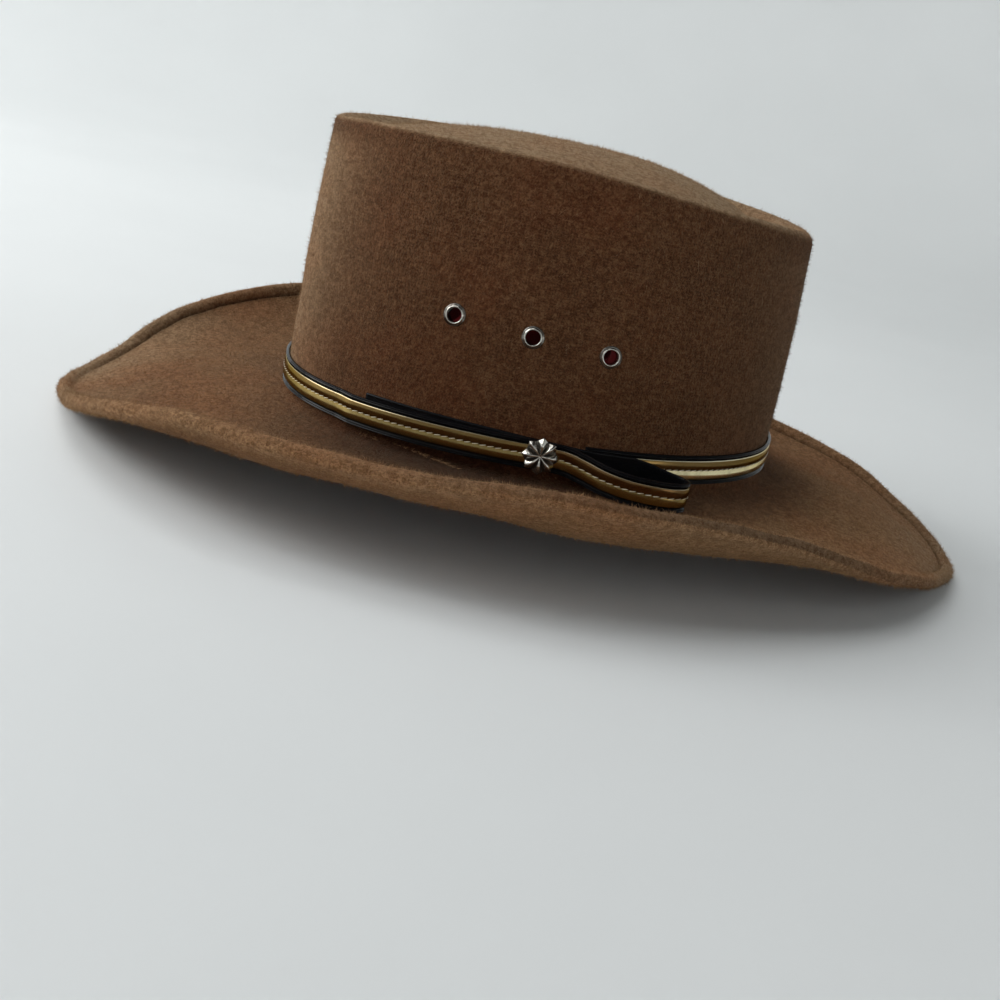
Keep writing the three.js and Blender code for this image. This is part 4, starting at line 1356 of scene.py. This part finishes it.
def star_concho(material):
    position, _ = strip_place(CONCHO_ANGLE, 1)
    place = wall_frame(CONCHO_ANGLE, position[2])
    place["point"] = position
    spokes = CONCHO_POINTS * RIDGE_POINTS
    rings = np.array(CONCHO_RINGS)
    turn = 2 * math.pi * np.arange(spokes) / spokes
    valley = np.abs((turn * CONCHO_POINTS / (2 * math.pi) + 0.5) % 1 - 0.5) * 2
    outline = CONCHO_RADIUS * (1 - CONCHO_NOTCH * valley ** 0.8)
    share = rings[:, None]
    crown = np.interp(rings, column(CONCHO_ROWS, "at"), column(CONCHO_ROWS, "height"))[:, None]
    cut = 0.92 * smoothstep(share, 0.04, 0.3) * (valley ** 2.2)[None, :]
    height = CONCHO_RISE * crown * (1 - cut)
    radius = outline[None, :] * share
    body = np.stack([radius * np.cos(turn), radius * np.sin(turn), height], axis=-1)
    skirt = np.stack([outline * np.cos(turn), outline * np.sin(turn), 0 * turn], axis=-1)[None]
    back = skirt * [0.9, 0.9, 1]
    levels = np.concatenate([body, skirt, back])
    count = len(levels)
    local = np.vstack([[[0, 0, CONCHO_RISE * 0.38], [0, 0, 0]], levels.reshape(-1, 3)])
    order = np.arange(spokes)
    after = (order + 1) % spokes
    quads = []
    for level in range(count - 1):
        one = 2 + level * spokes
        corners = [one + order, one + spokes + order, one + spokes + after, one + after]
        quads.append(np.stack(corners, axis=-1))
    top = np.stack([0 * order, 2 + order, 2 + after], axis=-1)
    last = 2 + (count - 1) * spokes
    bottom = np.stack([1 + 0 * order, last + after, last + order], axis=-1)
    points = metal_place(local, place, STRIP_THICKNESS / 2 + TRIM_GAP * 0.4)
    deep = np.concatenate([[0.4, 0], (valley[None, :] ** 3 * np.ones((count, 1))).ravel()])
    mesh = make_mesh("star_concho_cast", points, [np.concatenate(quads), top, bottom], {"tarnish": deep})
    make_piece("star_concho_cast", mesh, material, ["star_concho"])


# An eyelet in section: radius and height above the felt, from the barrel's mouth round the flange, down to
# the felt, along the barrel and round its rolled back end.
def eyelet_profile():
    inner = EYELET_HOLE_RADIUS
    barrel = inner + EYELET_WALL
    back = -FELT_THICKNESS - TRIM_GAP
    rise = EYELET_FLANGE_RISE
    flange = EYELET_FLANGE_RADIUS
    return np.array([
        [inner, back], [inner, -0.6], [inner + 0.05, rise * 0.3], [inner + 0.14, rise * 0.72],
        [inner + 0.28, rise * 0.93], [inner + 0.45, rise], [inner + 0.62, rise * 0.94],
        [inner + 0.78, rise * 0.78], [inner + 0.95, rise * 0.6], [flange - 0.45, rise * 0.5],
        [flange - 0.2, rise * 0.38], [flange - 0.05, rise * 0.24], [flange, rise * 0.12],
        [flange - 0.05, 0.04], [barrel + 0.2, 0.08], [barrel, 0.0],
        [barrel, back + 0.1], [barrel + 0.35, back - 0.15], [barrel + 0.4, back - 0.35],
        [barrel, back - 0.4],
    ])


EYELET_SIDES = 64


def eyelets(material):
    sides = EYELET_SIDES
    profile = eyelet_profile()
    turn = 2 * math.pi * np.arange(sides) / sides
    for index, place in enumerate(eyelet_frames()):
        ring = np.stack([
            profile[None, :, 0] * np.cos(turn)[:, None],
            profile[None, :, 0] * np.sin(turn)[:, None],
            profile[None, :, 1] + 0 * turn[:, None],
        ], axis=-1)
        rows = len(profile)
        quads = grid_faces(sides, rows)
        one = np.arange(sides) * rows
        two = (np.arange(sides) + 1) % sides * rows
        seam = np.stack([one + rows - 1, one, two, two + rows - 1], axis=-1)
        points = metal_place(ring.reshape(-1, 3), place)
        dull = smoothstep(profile[:, 0], EYELET_HOLE_RADIUS + 0.65, EYELET_HOLE_RADIUS + 0.95)
        inside = smoothstep(-profile[:, 1], -0.4, 0.3) * (profile[:, 0] < EYELET_HOLE_RADIUS + 0.2)
        values = {"tarnish": np.tile(np.clip(0.8 * dull + inside, 0, 1), sides)}
        name = f"rolled_eyelet_{index + 1}"
        mesh = make_mesh(name, points, [quads, seam], values)
        make_piece(name, mesh, material, [f"eyelet_{index + 1}"])


# Material tools

def new_group(name, inputs, outputs):
    """A shader node group with named inputs, each with a plain value, and named outputs."""
    tree = bpy.data.node_groups.new(name, "ShaderNodeTree")
    for label, value in inputs.items():
        socket = tree.interface.new_socket(label, in_out="INPUT", socket_type="NodeSocketFloat")
        socket.default_value = value
    for label in outputs:
        tree.interface.new_socket(label, in_out="OUTPUT", socket_type="NodeSocketFloat")
    start = tree.nodes.new("NodeGroupInput")
    end = tree.nodes.new("NodeGroupOutput")
    return tree, start.outputs, end.inputs


def feed(tree, value, socket):
    """Gives a socket a value, a colour or another node's output."""
    if isinstance(value, bpy.types.NodeSocket):
        tree.links.new(value, socket)
    elif isinstance(value, tuple) and len(socket.default_value) == 4:
        socket.default_value = (*value, 1.0)
    else:
        socket.default_value = value


def add_node(tree, kind, settings=None, **sockets):
    """A node with its settings, and its inputs by name from values or other nodes' outputs."""
    node = tree.nodes.new(kind)
    for key, value in (settings or {}).items():
        setattr(node, key, value)
    for key, value in sockets.items():
        feed(tree, value, node.inputs[key.replace("_", " ")])
    return node


def math_node(tree, operation, first, second=0.0, clamp=False):
    node = add_node(tree, "ShaderNodeMath", {"operation": operation, "use_clamp": clamp})
    feed(tree, first, node.inputs[0])
    feed(tree, second, node.inputs[1])
    return node.outputs[0]


def times(tree, first, second, clamp=False):
    return math_node(tree, "MULTIPLY", first, second, clamp)


def plus(tree, first, second, clamp=False):
    return math_node(tree, "ADD", first, second, clamp)


def noise(tree, where, scale, detail=2.0, roughness=0.5, distortion=0.0):
    node = add_node(
        tree, "ShaderNodeTexNoise", Vector=where, Scale=scale, Detail=detail,
        Roughness=roughness, Distortion=distortion,
    )
    return node.outputs["Fac"]


def contrast(tree, value, low, high):
    node = add_node(tree, "ShaderNodeMapRange", {"interpolation_type": "SMOOTHSTEP"}, Value=value)
    node.inputs["From Min"].default_value = low
    node.inputs["From Max"].default_value = high
    return node.outputs[0]


def between(tree, share, low, high):
    """A value that runs from low to high as share runs from 0 to 1."""
    node = add_node(tree, "ShaderNodeMapRange", Value=share)
    node.inputs["To Min"].default_value = low
    node.inputs["To Max"].default_value = high
    return node.outputs[0]


# The Mix node's sockets for a colour mix, by their places on the node
MIX_SHARE = 0
MIX_FIRST = 6
MIX_SECOND = 7
MIX_RESULT = 2


def mix_colour(tree, share, first, second, blend="MIX"):
    node = add_node(tree, "ShaderNodeMix", {"data_type": "RGBA", "blend_type": blend})
    feed(tree, share, node.inputs[MIX_SHARE])
    feed(tree, first, node.inputs[MIX_FIRST])
    feed(tree, second, node.inputs[MIX_SECOND])
    return node.outputs[MIX_RESULT]


def darken(tree, share, colour, tint):
    """The colour multiplied by a tint, by a share."""
    return mix_colour(tree, share, colour, tint, "MULTIPLY")


def mark(tree, name):
    return add_node(tree, "ShaderNodeAttribute", {"attribute_name": name}).outputs["Fac"]


def place_nodes(tree):
    return add_node(tree, "ShaderNodeTexCoord").outputs["Object"]


def stretched(tree, where, scale, turn=(0.0, 0.0, 0.0)):
    node = add_node(tree, "ShaderNodeMapping", Vector=where, Scale=scale, Rotation=turn)
    return node.outputs[0]


def use_group(tree, group, **values):
    node = tree.nodes.new("ShaderNodeGroup")
    node.node_tree = group
    for key, value in values.items():
        feed(tree, value, node.inputs[key.replace("_", " ")])
    return node.outputs


def new_material(name, settings):
    """A material with its Principled shader, whose constant sockets are set here."""
    material = bpy.data.materials.new(name)
    material.use_nodes = True
    tree = material.node_tree
    shader = tree.nodes["Principled BSDF"]
    for key, value in settings.items():
        shader.inputs[key].default_value = value
    return material, tree, shader


def bump(tree, shader, height, distance, strength=1.0):
    node = add_node(tree, "ShaderNodeBump", Height=height, Distance=distance, Strength=strength)
    tree.links.new(node.outputs[0], shader.inputs["Normal"])


# Shared effects

FIBRE_SCALE = 1900.0
CLUMP_SCALE = 1100.0
MOTTLE_SCALE = 60.0
WISP_SCALE = 430.0
STRAND_STRETCH = (2500.0, 620.0, 620.0)
STRAND_TURNS = ((0.3, 0.2, 0.5), (1.2, 0.7, 1.9), (0.6, 1.4, 2.7))
LOCK_LAYS = (
    {"scale": (640.0, 230.0, 640.0), "turn": (0.2, 0.4, 0.3)},
    {"scale": (230.0, 640.0, 640.0), "turn": (0.5, 0.1, 0.4)},
)


def wool_grain_group():
    """Matted wool: light flecks, fine grain, soft mottling, darker wisps between locks, and its height."""
    outputs = ["Fleck", "Grain", "Mottle", "Wisp", "Height"]
    tree, start, end = new_group("wool_grain", {"Fineness": 1.0, "Curl": 0.6}, outputs)
    where = place_nodes(tree)
    fine = noise(tree, where, times(tree, start["Fineness"], FIBRE_SCALE), 2.0, 0.7, start["Curl"])
    clump = noise(tree, where, times(tree, start["Fineness"], CLUMP_SCALE), 2.0, 0.6, start["Curl"])
    strands = []
    for turn in STRAND_TURNS:
        lay = stretched(tree, where, STRAND_STRETCH, turn)
        strands.append(contrast(tree, noise(tree, lay, 1.0, 1.0, 0.5, 1.2), 0.52, 0.72))
    most = math_node(tree, "MAXIMUM", math_node(tree, "MAXIMUM", strands[0], strands[1]), strands[2])
    fleck = times(tree, most, contrast(tree, clump, 0.1, 0.55))
    tree.links.new(fleck, end["Fleck"])
    tree.links.new(contrast(tree, fine, 0.3, 0.7), end["Grain"])
    mottle = noise(tree, where, times(tree, start["Fineness"], MOTTLE_SCALE), 2.0, 0.5)
    tree.links.new(contrast(tree, mottle, 0.3, 0.7), end["Mottle"])
    wide = noise(tree, where, WISP_SCALE, 2.0, 0.55, 0.8)
    locks = [noise(tree, stretched(tree, where, **lay), 1.0, 2.0, 0.5, 0.6) for lay in LOCK_LAYS]
    wisp = plus(tree, plus(tree, *locks), wide)
    tree.links.new(contrast(tree, wisp, 1.28, 1.72), end["Wisp"])
    height = plus(tree, times(tree, clump, 0.4), times(tree, fine, 0.6))
    height = plus(tree, height, times(tree, wide, 0.5))
    height = plus(tree, height, times(tree, most, 0.3))
    tree.links.new(height, end["Height"])
    return tree


def handling_group():
    """Wear of a worn hat: wide soft patches, and a fine dust that clings in places."""
    tree, start, end = new_group("handling_wear", {"Spread": 22.0, "Amount": 0.5}, ["Patch", "Dust"])
    where = place_nodes(tree)
    patch = contrast(tree, noise(tree, where, start["Spread"], 3.0, 0.55), 0.4, 0.68)
    tree.links.new(times(tree, patch, start["Amount"]), end["Patch"])
    speck = contrast(tree, noise(tree, where, 900.0, 1.0, 0.5), 0.66, 0.78)
    wide = contrast(tree, noise(tree, where, 40.0, 2.0, 0.5), 0.48, 0.68)
    tree.links.new(times(tree, speck, wide), end["Dust"])
    return tree


def smear_group():
    """Blotches and fine lengthwise streaks on glossy foil, vinyl and plated metal."""
    tree, start, end = new_group("gloss_smears", {"Blotch": 260.0}, ["Smear", "Height"])
    where = place_nodes(tree)
    blotch = noise(tree, where, start["Blotch"], 2.0, 0.5, 0.8)
    tree.links.new(contrast(tree, blotch, 0.35, 0.68), end["Smear"])
    fine = noise(tree, where, times(tree, start["Blotch"], 4.0), 2.0, 0.5)
    height = plus(tree, times(tree, blotch, 0.8), times(tree, fine, 0.2))
    tree.links.new(height, end["Height"])
    return tree


# Materials

# The tan is painted light and sheen, the olive is painted sheen, and the shade and groove colours are
# painted shade.
FELT_DARK = (0.055, 0.023, 0.010)
FELT_BROWN = (0.200, 0.087, 0.040)
FELT_LIGHT = (0.310, 0.165, 0.082)
FELT_RED = (0.150, 0.058, 0.028)
FELT_TAN = (0.690, 0.395, 0.185)
FELT_PAINTED_SHEEN = (0.430, 0.315, 0.200)
FELT_PALE = (0.330, 0.225, 0.140)
FELT_SHADE = (0.040, 0.014, 0.007)
FELT_GROOVE_PAINTED_SHADE = (0.030, 0.013, 0.008)
WISP_TINT = (0.56, 0.50, 0.45)
PATCH_TINT = (1.0, 0.84, 0.76)
WOOL_SHEEN_TINT = (1.0, 0.80, 0.55, 1.0)

# The faint even rows of the wool cloth that show through the felt on the crown
KNIT = {"Scale": 270.0, "Distortion": 2.2, "Detail": 2.0, "Detail_Scale": 0.6}


def brown_felt(grain, handling):
    material, tree, shader = new_material("brown_wool_felt", {
        "Roughness": 0.92,
        "Specular IOR Level": 0.06,
        "Sheen Weight": 0.14,
        "Sheen Roughness": 0.3,
        "Sheen Tint": WOOL_SHEEN_TINT,
    })
    wool = use_group(tree, grain, Fineness=1.0, Curl=0.8)
    wear = use_group(tree, handling, Spread=20.0, Amount=0.8)
    tone = plus(tree, times(tree, wool["Mottle"], 0.25), wool["Grain"])
    rows = add_node(tree, "ShaderNodeTexWave", {"bands_direction": "Z"}, Vector=place_nodes(tree), **KNIT)
    loops = add_node(tree, "ShaderNodeTexWave", {"bands_direction": "Y"}, Vector=place_nodes(tree), **KNIT)
    knit = times(tree, rows.outputs["Fac"], loops.outputs["Fac"])
    knit = times(tree, math_node(tree, "SUBTRACT", knit, 0.25), mark(tree, "wall"))
    tone = plus(tree, tone, times(tree, knit, 0.45))
    colour = mix_colour(tree, times(tree, tone, 0.8, True), FELT_DARK, FELT_BROWN)
    colour = mix_colour(tree, times(tree, wear["Patch"], 0.3), colour, FELT_RED)
    colour = mix_colour(tree, times(tree, wool["Fleck"], 0.5), colour, FELT_LIGHT)
    shade = times(tree, mark(tree, "shaded"), 0.95)
    colour = mix_colour(tree, shade, colour, FELT_SHADE)
    # Paler tan where the felt's mark paints light and sheen.
    wear_and_painted_light = times(tree, mark(tree, "wear_and_painted_light"), 0.75)
    tan = mix_colour(tree, math_node(tree, "MAXIMUM", wool["Grain"], wool["Fleck"]), FELT_BROWN, FELT_TAN)
    colour = mix_colour(tree, wear_and_painted_light, colour, tan)
    # Olive where the felt's mark paints sheen.
    painted_sheen = times(tree, mark(tree, "painted_sheen"), plus(tree, wool["Grain"], 0.45, True))
    colour = mix_colour(tree, times(tree, painted_sheen, 0.8), colour, FELT_PAINTED_SHEEN)
    colour = darken(tree, times(tree, wool["Wisp"], 0.75), colour, WISP_TINT)
    colour = darken(tree, times(tree, wear["Patch"], 0.9), colour, PATCH_TINT)
    colour = mix_colour(tree, times(tree, wear["Dust"], 0.35), colour, FELT_PALE)
    # Painted shade in the stitched groove.
    colour = mix_colour(tree, times(tree, mark(tree, "groove"), 0.75), colour, FELT_GROOVE_PAINTED_SHADE)
    tree.links.new(colour, shader.inputs["Base Color"])
    bump(tree, shader, wool["Height"], distance=0.0011, strength=1.0)
    return material


# The tan is painted light and sheen, and wear on the scuff; the olive is painted sheen, the tip colour is
# painted light through the fibres, and the shade colour is painted shade.
NAP_DARK = (0.070, 0.030, 0.014)
NAP_BROWN = (0.200, 0.092, 0.040)
NAP_LIGHT = (0.420, 0.250, 0.135)
NAP_TAN = (0.660, 0.390, 0.185)
NAP_PAINTED_SHEEN = (0.440, 0.320, 0.200)
NAP_TIP_PAINTED_LIGHT = (0.430, 0.300, 0.180)
NAP_SHADE = (0.058, 0.021, 0.010)


def nap_fibres(grain, handling):
    material, tree, shader = new_material("wool_nap_fibres", {
        "Roughness": 0.8,
        "Specular IOR Level": 0.1,
        "Sheen Weight": 0.06,
        "Sheen Roughness": 0.3,
        "Sheen Tint": WOOL_SHEEN_TINT,
    })
    wool = use_group(tree, grain, Fineness=1.0, Curl=0.8)
    wear = use_group(tree, handling, Spread=20.0, Amount=0.8)
    tint = mark(tree, "tint")
    colour = mix_colour(tree, contrast(tree, tint, 0.1, 0.8), NAP_DARK, NAP_BROWN)
    colour = mix_colour(tree, contrast(tree, tint, 0.8, 1.0), colour, NAP_LIGHT)
    colour = mix_colour(tree, times(tree, wool["Mottle"], 0.3), colour, NAP_BROWN)
    # Paler tan where the mark paints light and sheen, and on the worn scuff.
    colour = mix_colour(tree, times(tree, mark(tree, "wear_and_painted_light"), 0.6), colour, NAP_TAN)
    # Olive where the mark paints sheen.
    colour = mix_colour(tree, times(tree, mark(tree, "painted_sheen"), 0.6), colour, NAP_PAINTED_SHEEN)
    # Paler tips paint the light that shines through the fibres, less where painted shade lies.
    tip_light_share = math_node(tree, "SUBTRACT", 0.5, times(tree, mark(tree, "shaded"), 0.4))
    colour = mix_colour(tree, times(tree, mark(tree, "tip"), tip_light_share), colour, NAP_TIP_PAINTED_LIGHT)
    colour = darken(tree, times(tree, wool["Wisp"], 0.75), colour, WISP_TINT)
    colour = darken(tree, times(tree, wear["Patch"], 0.9), colour, PATCH_TINT)
    colour = mix_colour(tree, times(tree, mark(tree, "shaded"), 0.95), colour, NAP_SHADE)
    tree.links.new(colour, shader.inputs["Base Color"])
    return material


VINYL_BLACK = (0.004, 0.004, 0.005)
VINYL_DUSTY = (0.020, 0.018, 0.016)


def black_vinyl(handling, smears):
    material, tree, shader = new_material("black_glossy_vinyl", {
        "IOR": 1.35,
        "Specular IOR Level": 0.2,
    })
    wear = use_group(tree, handling, Spread=90.0, Amount=0.15)
    gloss = use_group(tree, smears, Blotch=220.0)
    dusty = math_node(tree, "MAXIMUM", wear["Patch"], wear["Dust"])
    colour = mix_colour(tree, dusty, VINYL_BLACK, VINYL_DUSTY)
    tree.links.new(colour, shader.inputs["Base Color"])
    rough = between(tree, gloss["Smear"], 0.07, 0.16)
    tree.links.new(rough, shader.inputs["Roughness"])
    bump(tree, shader, gloss["Height"], distance=0.0001, strength=0.5)
    return material


# The bright colour is a painted reflection, the cream is a painted highlight on the upper edge, and the
# valley colour is painted shade along the stitches.
GOLD_BROWN = (0.175, 0.112, 0.040)
GOLD_OLIVE = (0.27, 0.195, 0.075)
GOLD_PAINTED_REFLECTION = (0.92, 0.82, 0.50)
GOLD_RUSSET = (0.13, 0.065, 0.030)
GOLD_EDGE_HIGHLIGHT = (0.93, 0.87, 0.66)
GOLD_VALLEY_PAINTED_SHADE = (0.10, 0.055, 0.02)


def gold_foil(handling, smears):
    material, tree, shader = new_material("gold_foil", {
        "Specular IOR Level": 0.6,
        "Specular Tint": (0.75, 0.62, 0.42, 1.0),
    })
    gloss = use_group(tree, smears, Blotch=120.0)
    wear = use_group(tree, handling, Spread=120.0, Amount=0.5)
    across = mark(tree, "across")
    lower = contrast(tree, times(tree, across, -1.0), -0.02, 0.04)
    # A painted reflection on the lower half, behind the bow and round the back.
    painted_reflection = times(tree, lower, mark(tree, "painted_reflection"))
    colour = mix_colour(tree, lower, GOLD_BROWN, GOLD_OLIVE)
    colour = mix_colour(tree, painted_reflection, colour, GOLD_PAINTED_REFLECTION)
    russet = times(tree, mark(tree, "russet"), math_node(tree, "SUBTRACT", 1.0, lower))
    colour = mix_colour(tree, times(tree, russet, 0.6), colour, GOLD_RUSSET)
    colour = mix_colour(tree, times(tree, gloss["Smear"], 0.3), colour, GOLD_BROWN)
    # Painted shade along the stitched valley, deepest where the painted reflection lies.
    valley = contrast(tree, math_node(tree, "ABSOLUTE", across), 0.075, 0.02)
    deep = times(tree, valley, plus(tree, mark(tree, "painted_reflection"), 0.25, True))
    colour = mix_colour(tree, deep, colour, GOLD_VALLEY_PAINTED_SHADE)
    # A painted highlight along the gold strip's upper edge, strongest where the painted reflection lies.
    edge_highlight = contrast(tree, across, 0.59, 0.61)
    edge_highlight = times(tree, edge_highlight, plus(tree, mark(tree, "painted_reflection"), 0.3, True))
    colour = mix_colour(tree, edge_highlight, colour, GOLD_EDGE_HIGHLIGHT)
    tree.links.new(colour, shader.inputs["Base Color"])
    metal = between(tree, wear["Patch"], 1.0, 0.85)
    tree.links.new(metal, shader.inputs["Metallic"])
    rough = between(tree, gloss["Smear"], 0.16, 0.27)
    tree.links.new(rough, shader.inputs["Roughness"])
    bump(tree, shader, gloss["Height"], distance=0.00022, strength=0.16)
    return material


THREAD_CREAM = (0.95, 0.90, 0.74)
THREAD_GOLD = (0.50, 0.36, 0.17)


def stitch_thread(grain):
    material, tree, shader = new_material("cream_stitch_thread", {
        "Roughness": 0.55,
        "Sheen Weight": 0.2,
    })
    wool = use_group(tree, grain, Fineness=1.6, Curl=0.2)
    colour = mix_colour(tree, times(tree, wool["Fleck"], 0.6), THREAD_CREAM, THREAD_GOLD)
    tree.links.new(colour, shader.inputs["Base Color"])
    bump(tree, shader, wool["Height"], distance=0.0001, strength=0.8)
    return material


NICKEL_BRIGHT = (0.60, 0.575, 0.52)
NICKEL_DULL = (0.075, 0.058, 0.045)


def worn_nickel(handling, smears):
    material, tree, shader = new_material("worn_nickel", {"Specular IOR Level": 0.6})
    gloss = use_group(tree, smears, Blotch=500.0)
    wear = use_group(tree, handling, Spread=300.0, Amount=0.35)
    dull = plus(tree, times(tree, mark(tree, "tarnish"), 0.85), wear["Patch"], True)
    tree.links.new(mix_colour(tree, dull, NICKEL_BRIGHT, NICKEL_DULL), shader.inputs["Base Color"])
    metal = between(tree, dull, 1.0, 0.8)
    tree.links.new(metal, shader.inputs["Metallic"])
    rough = between(tree, gloss["Smear"], 0.1, 0.22)
    tree.links.new(rough, shader.inputs["Roughness"])
    bump(tree, shader, gloss["Height"], distance=0.00006, strength=0.4)
    return material


LINING_RED = (0.45, 0.016, 0.022)
LINING_DEEP = (0.20, 0.008, 0.010)
WEAVE = {"Scale": 900.0, "Distortion": 0.6}


def lining_cloth(grain, handling):
    material, tree, shader = new_material("red_lining_cloth", {
        "Roughness": 0.45,
        "Sheen Weight": 0.3,
        "Sheen Roughness": 0.4,
    })
    wear = use_group(tree, handling, Spread=30.0, Amount=0.7)
    where = place_nodes(tree)
    warp = add_node(tree, "ShaderNodeTexWave", {"bands_direction": "Z"}, Vector=where, **WEAVE)
    weft = add_node(tree, "ShaderNodeTexWave", {"bands_direction": "DIAGONAL"}, Vector=where, **WEAVE)
    weave = times(tree, warp.outputs["Fac"], weft.outputs["Fac"])
    wool = use_group(tree, grain, Fineness=1.2, Curl=0.2)
    colour = mix_colour(tree, wear["Patch"], LINING_RED, LINING_DEEP)
    colour = mix_colour(tree, times(tree, wool["Fleck"], 0.2), colour, LINING_DEEP)
    tree.links.new(colour, shader.inputs["Base Color"])
    bump(tree, shader, weave, distance=0.00015, strength=0.6)
    return material


# Stage: a pale floor that sweeps up into a pale wall all round, and soft lights

FLOOR_RADIUS = 1150.0
SWEEP_RADIUS = 700.0
WALL_HEIGHT = 2300.0
STAGE_SIDES = 96
FLOOR_RINGS = [300.0, 700.0]
SWEEP_STEPS = 14
STAGE_COLOUR = (0.655, 0.665, 0.665)
STAGE_PALE = (0.74, 0.75, 0.75)
ROOM_COLOUR = (0.88, 0.93, 1.0, 1.0)
ROOM_STRENGTH = 0.02


def pale_stage():
    sides = STAGE_SIDES
    sweep_turn = np.linspace(0, math.pi / 2, SWEEP_STEPS)
    sweep_radius = FLOOR_RADIUS + SWEEP_RADIUS * np.sin(sweep_turn)
    radius = np.concatenate([FLOOR_RINGS, sweep_radius, [FLOOR_RADIUS + SWEEP_RADIUS]])
    height = np.concatenate([[0.0, 0.0], SWEEP_RADIUS * (1 - np.cos(sweep_turn)), [WALL_HEIGHT]])
    angles = FULL_TURN * np.arange(sides) / sides
    rings = turned_points(angles[:, None], radius[None, :], height[None, :])
    rows = len(radius)
    points = np.vstack([[[0, 0, 0]], rings.reshape(-1, 3)])
    one = 1 + np.arange(sides) * rows
    two = 1 + (np.arange(sides) + 1) % sides * rows
    middle = np.stack([0 * one, one, two], axis=-1)
    mesh = bpy.data.meshes.new("pale_sweep")
    faces = grid_faces(sides, rows, 1).tolist() + middle.tolist()
    mesh.from_pydata((points * MM).tolist(), [], faces)
    mesh.polygons.foreach_set("use_smooth", np.full(len(mesh.polygons), True))
    sweep_object = bpy.data.objects.new("pale_sweep", mesh)
    bpy.context.scene.collection.objects.link(sweep_object)
    material, tree, shader = new_material("pale_backdrop", {"Roughness": 0.6, "Specular IOR Level": 0.3})
    clouding = noise(tree, place_nodes(tree), 3.0, 3.0)
    colour = mix_colour(tree, clouding, STAGE_COLOUR, STAGE_PALE)
    tree.links.new(colour, shader.inputs["Base Color"])
    mesh.materials.append(material)


def soft_light(name, position, target, size, power, colour):
    data = bpy.data.lights.new(name, "AREA")
    data.shape = "RECTANGLE"
    data.size, data.size_y = size
    data.energy = power
    data.color = colour
    light = bpy.data.objects.new(name, data)
    bpy.context.scene.collection.objects.link(light)
    back = unit(np.array(position, float) - np.array(target, float))
    side = unit(np.cross([0.0, 0.0, 1.0], back))
    rows = np.eye(4)
    rows[:3, 0] = side
    rows[:3, 1] = np.cross(back, side)
    rows[:3, 2] = back
    rows[:3, 3] = position
    light.matrix_world = Matrix(rows.tolist())


def lights():
    soft_light("window_light", (0.35, -1.45, 1.15), (0.0, 0.0, 0.08), (1.1, 1.1), 12.5, (0.97, 0.99, 1.0))
    soft_light("side_light", (-0.35, -1.6, 0.75), (0.0, 0.0, 0.08), (0.8, 0.8), 11.0, (0.98, 1.0, 1.0))
    soft_light("ceiling_light", (-0.3, -0.62, 1.7), (0.0, 0.0, 0.0), (1.6, 1.6), 13.0, (0.98, 1.0, 1.0))
    soft_light("wall_light", (-0.9, -0.9, 1.5), (-1.7, -0.3, 0.3), (1.0, 1.0), 7.0, (0.95, 1.0, 1.0))
    soft_light("low_light", (1.1, 0.9, 0.22), (0.1, 0.1, 0.03), (0.7, 0.3), 0.9, (1.0, 0.98, 0.95))
    world = bpy.data.worlds.new("soft_room")
    world.use_nodes = True
    background = world.node_tree.nodes["Background"]
    background.inputs["Color"].default_value = ROOM_COLOUR
    background.inputs["Strength"].default_value = ROOM_STRENGTH
    bpy.context.scene.world = world
    bpy.context.scene.view_settings.view_transform = "Standard"


def build():
    place_camera()
    grain = wool_grain_group()
    handling = handling_group()
    smears = smear_group()
    felt = brown_felt(grain, handling)
    fibres = nap_fibres(grain, handling)
    surface, line_rows, fold_rows = felt_body(felt)
    wool_nap(surface, line_rows, fold_rows, fibres)
    red_lining(lining_cloth(grain, handling))
    band_and_bow(black_vinyl(handling, smears), gold_foil(handling, smears), stitch_thread(grain))
    nickel = worn_nickel(handling, smears)
    star_concho(nickel)
    eyelets(nickel)
    pale_stage()
    lights()


build()
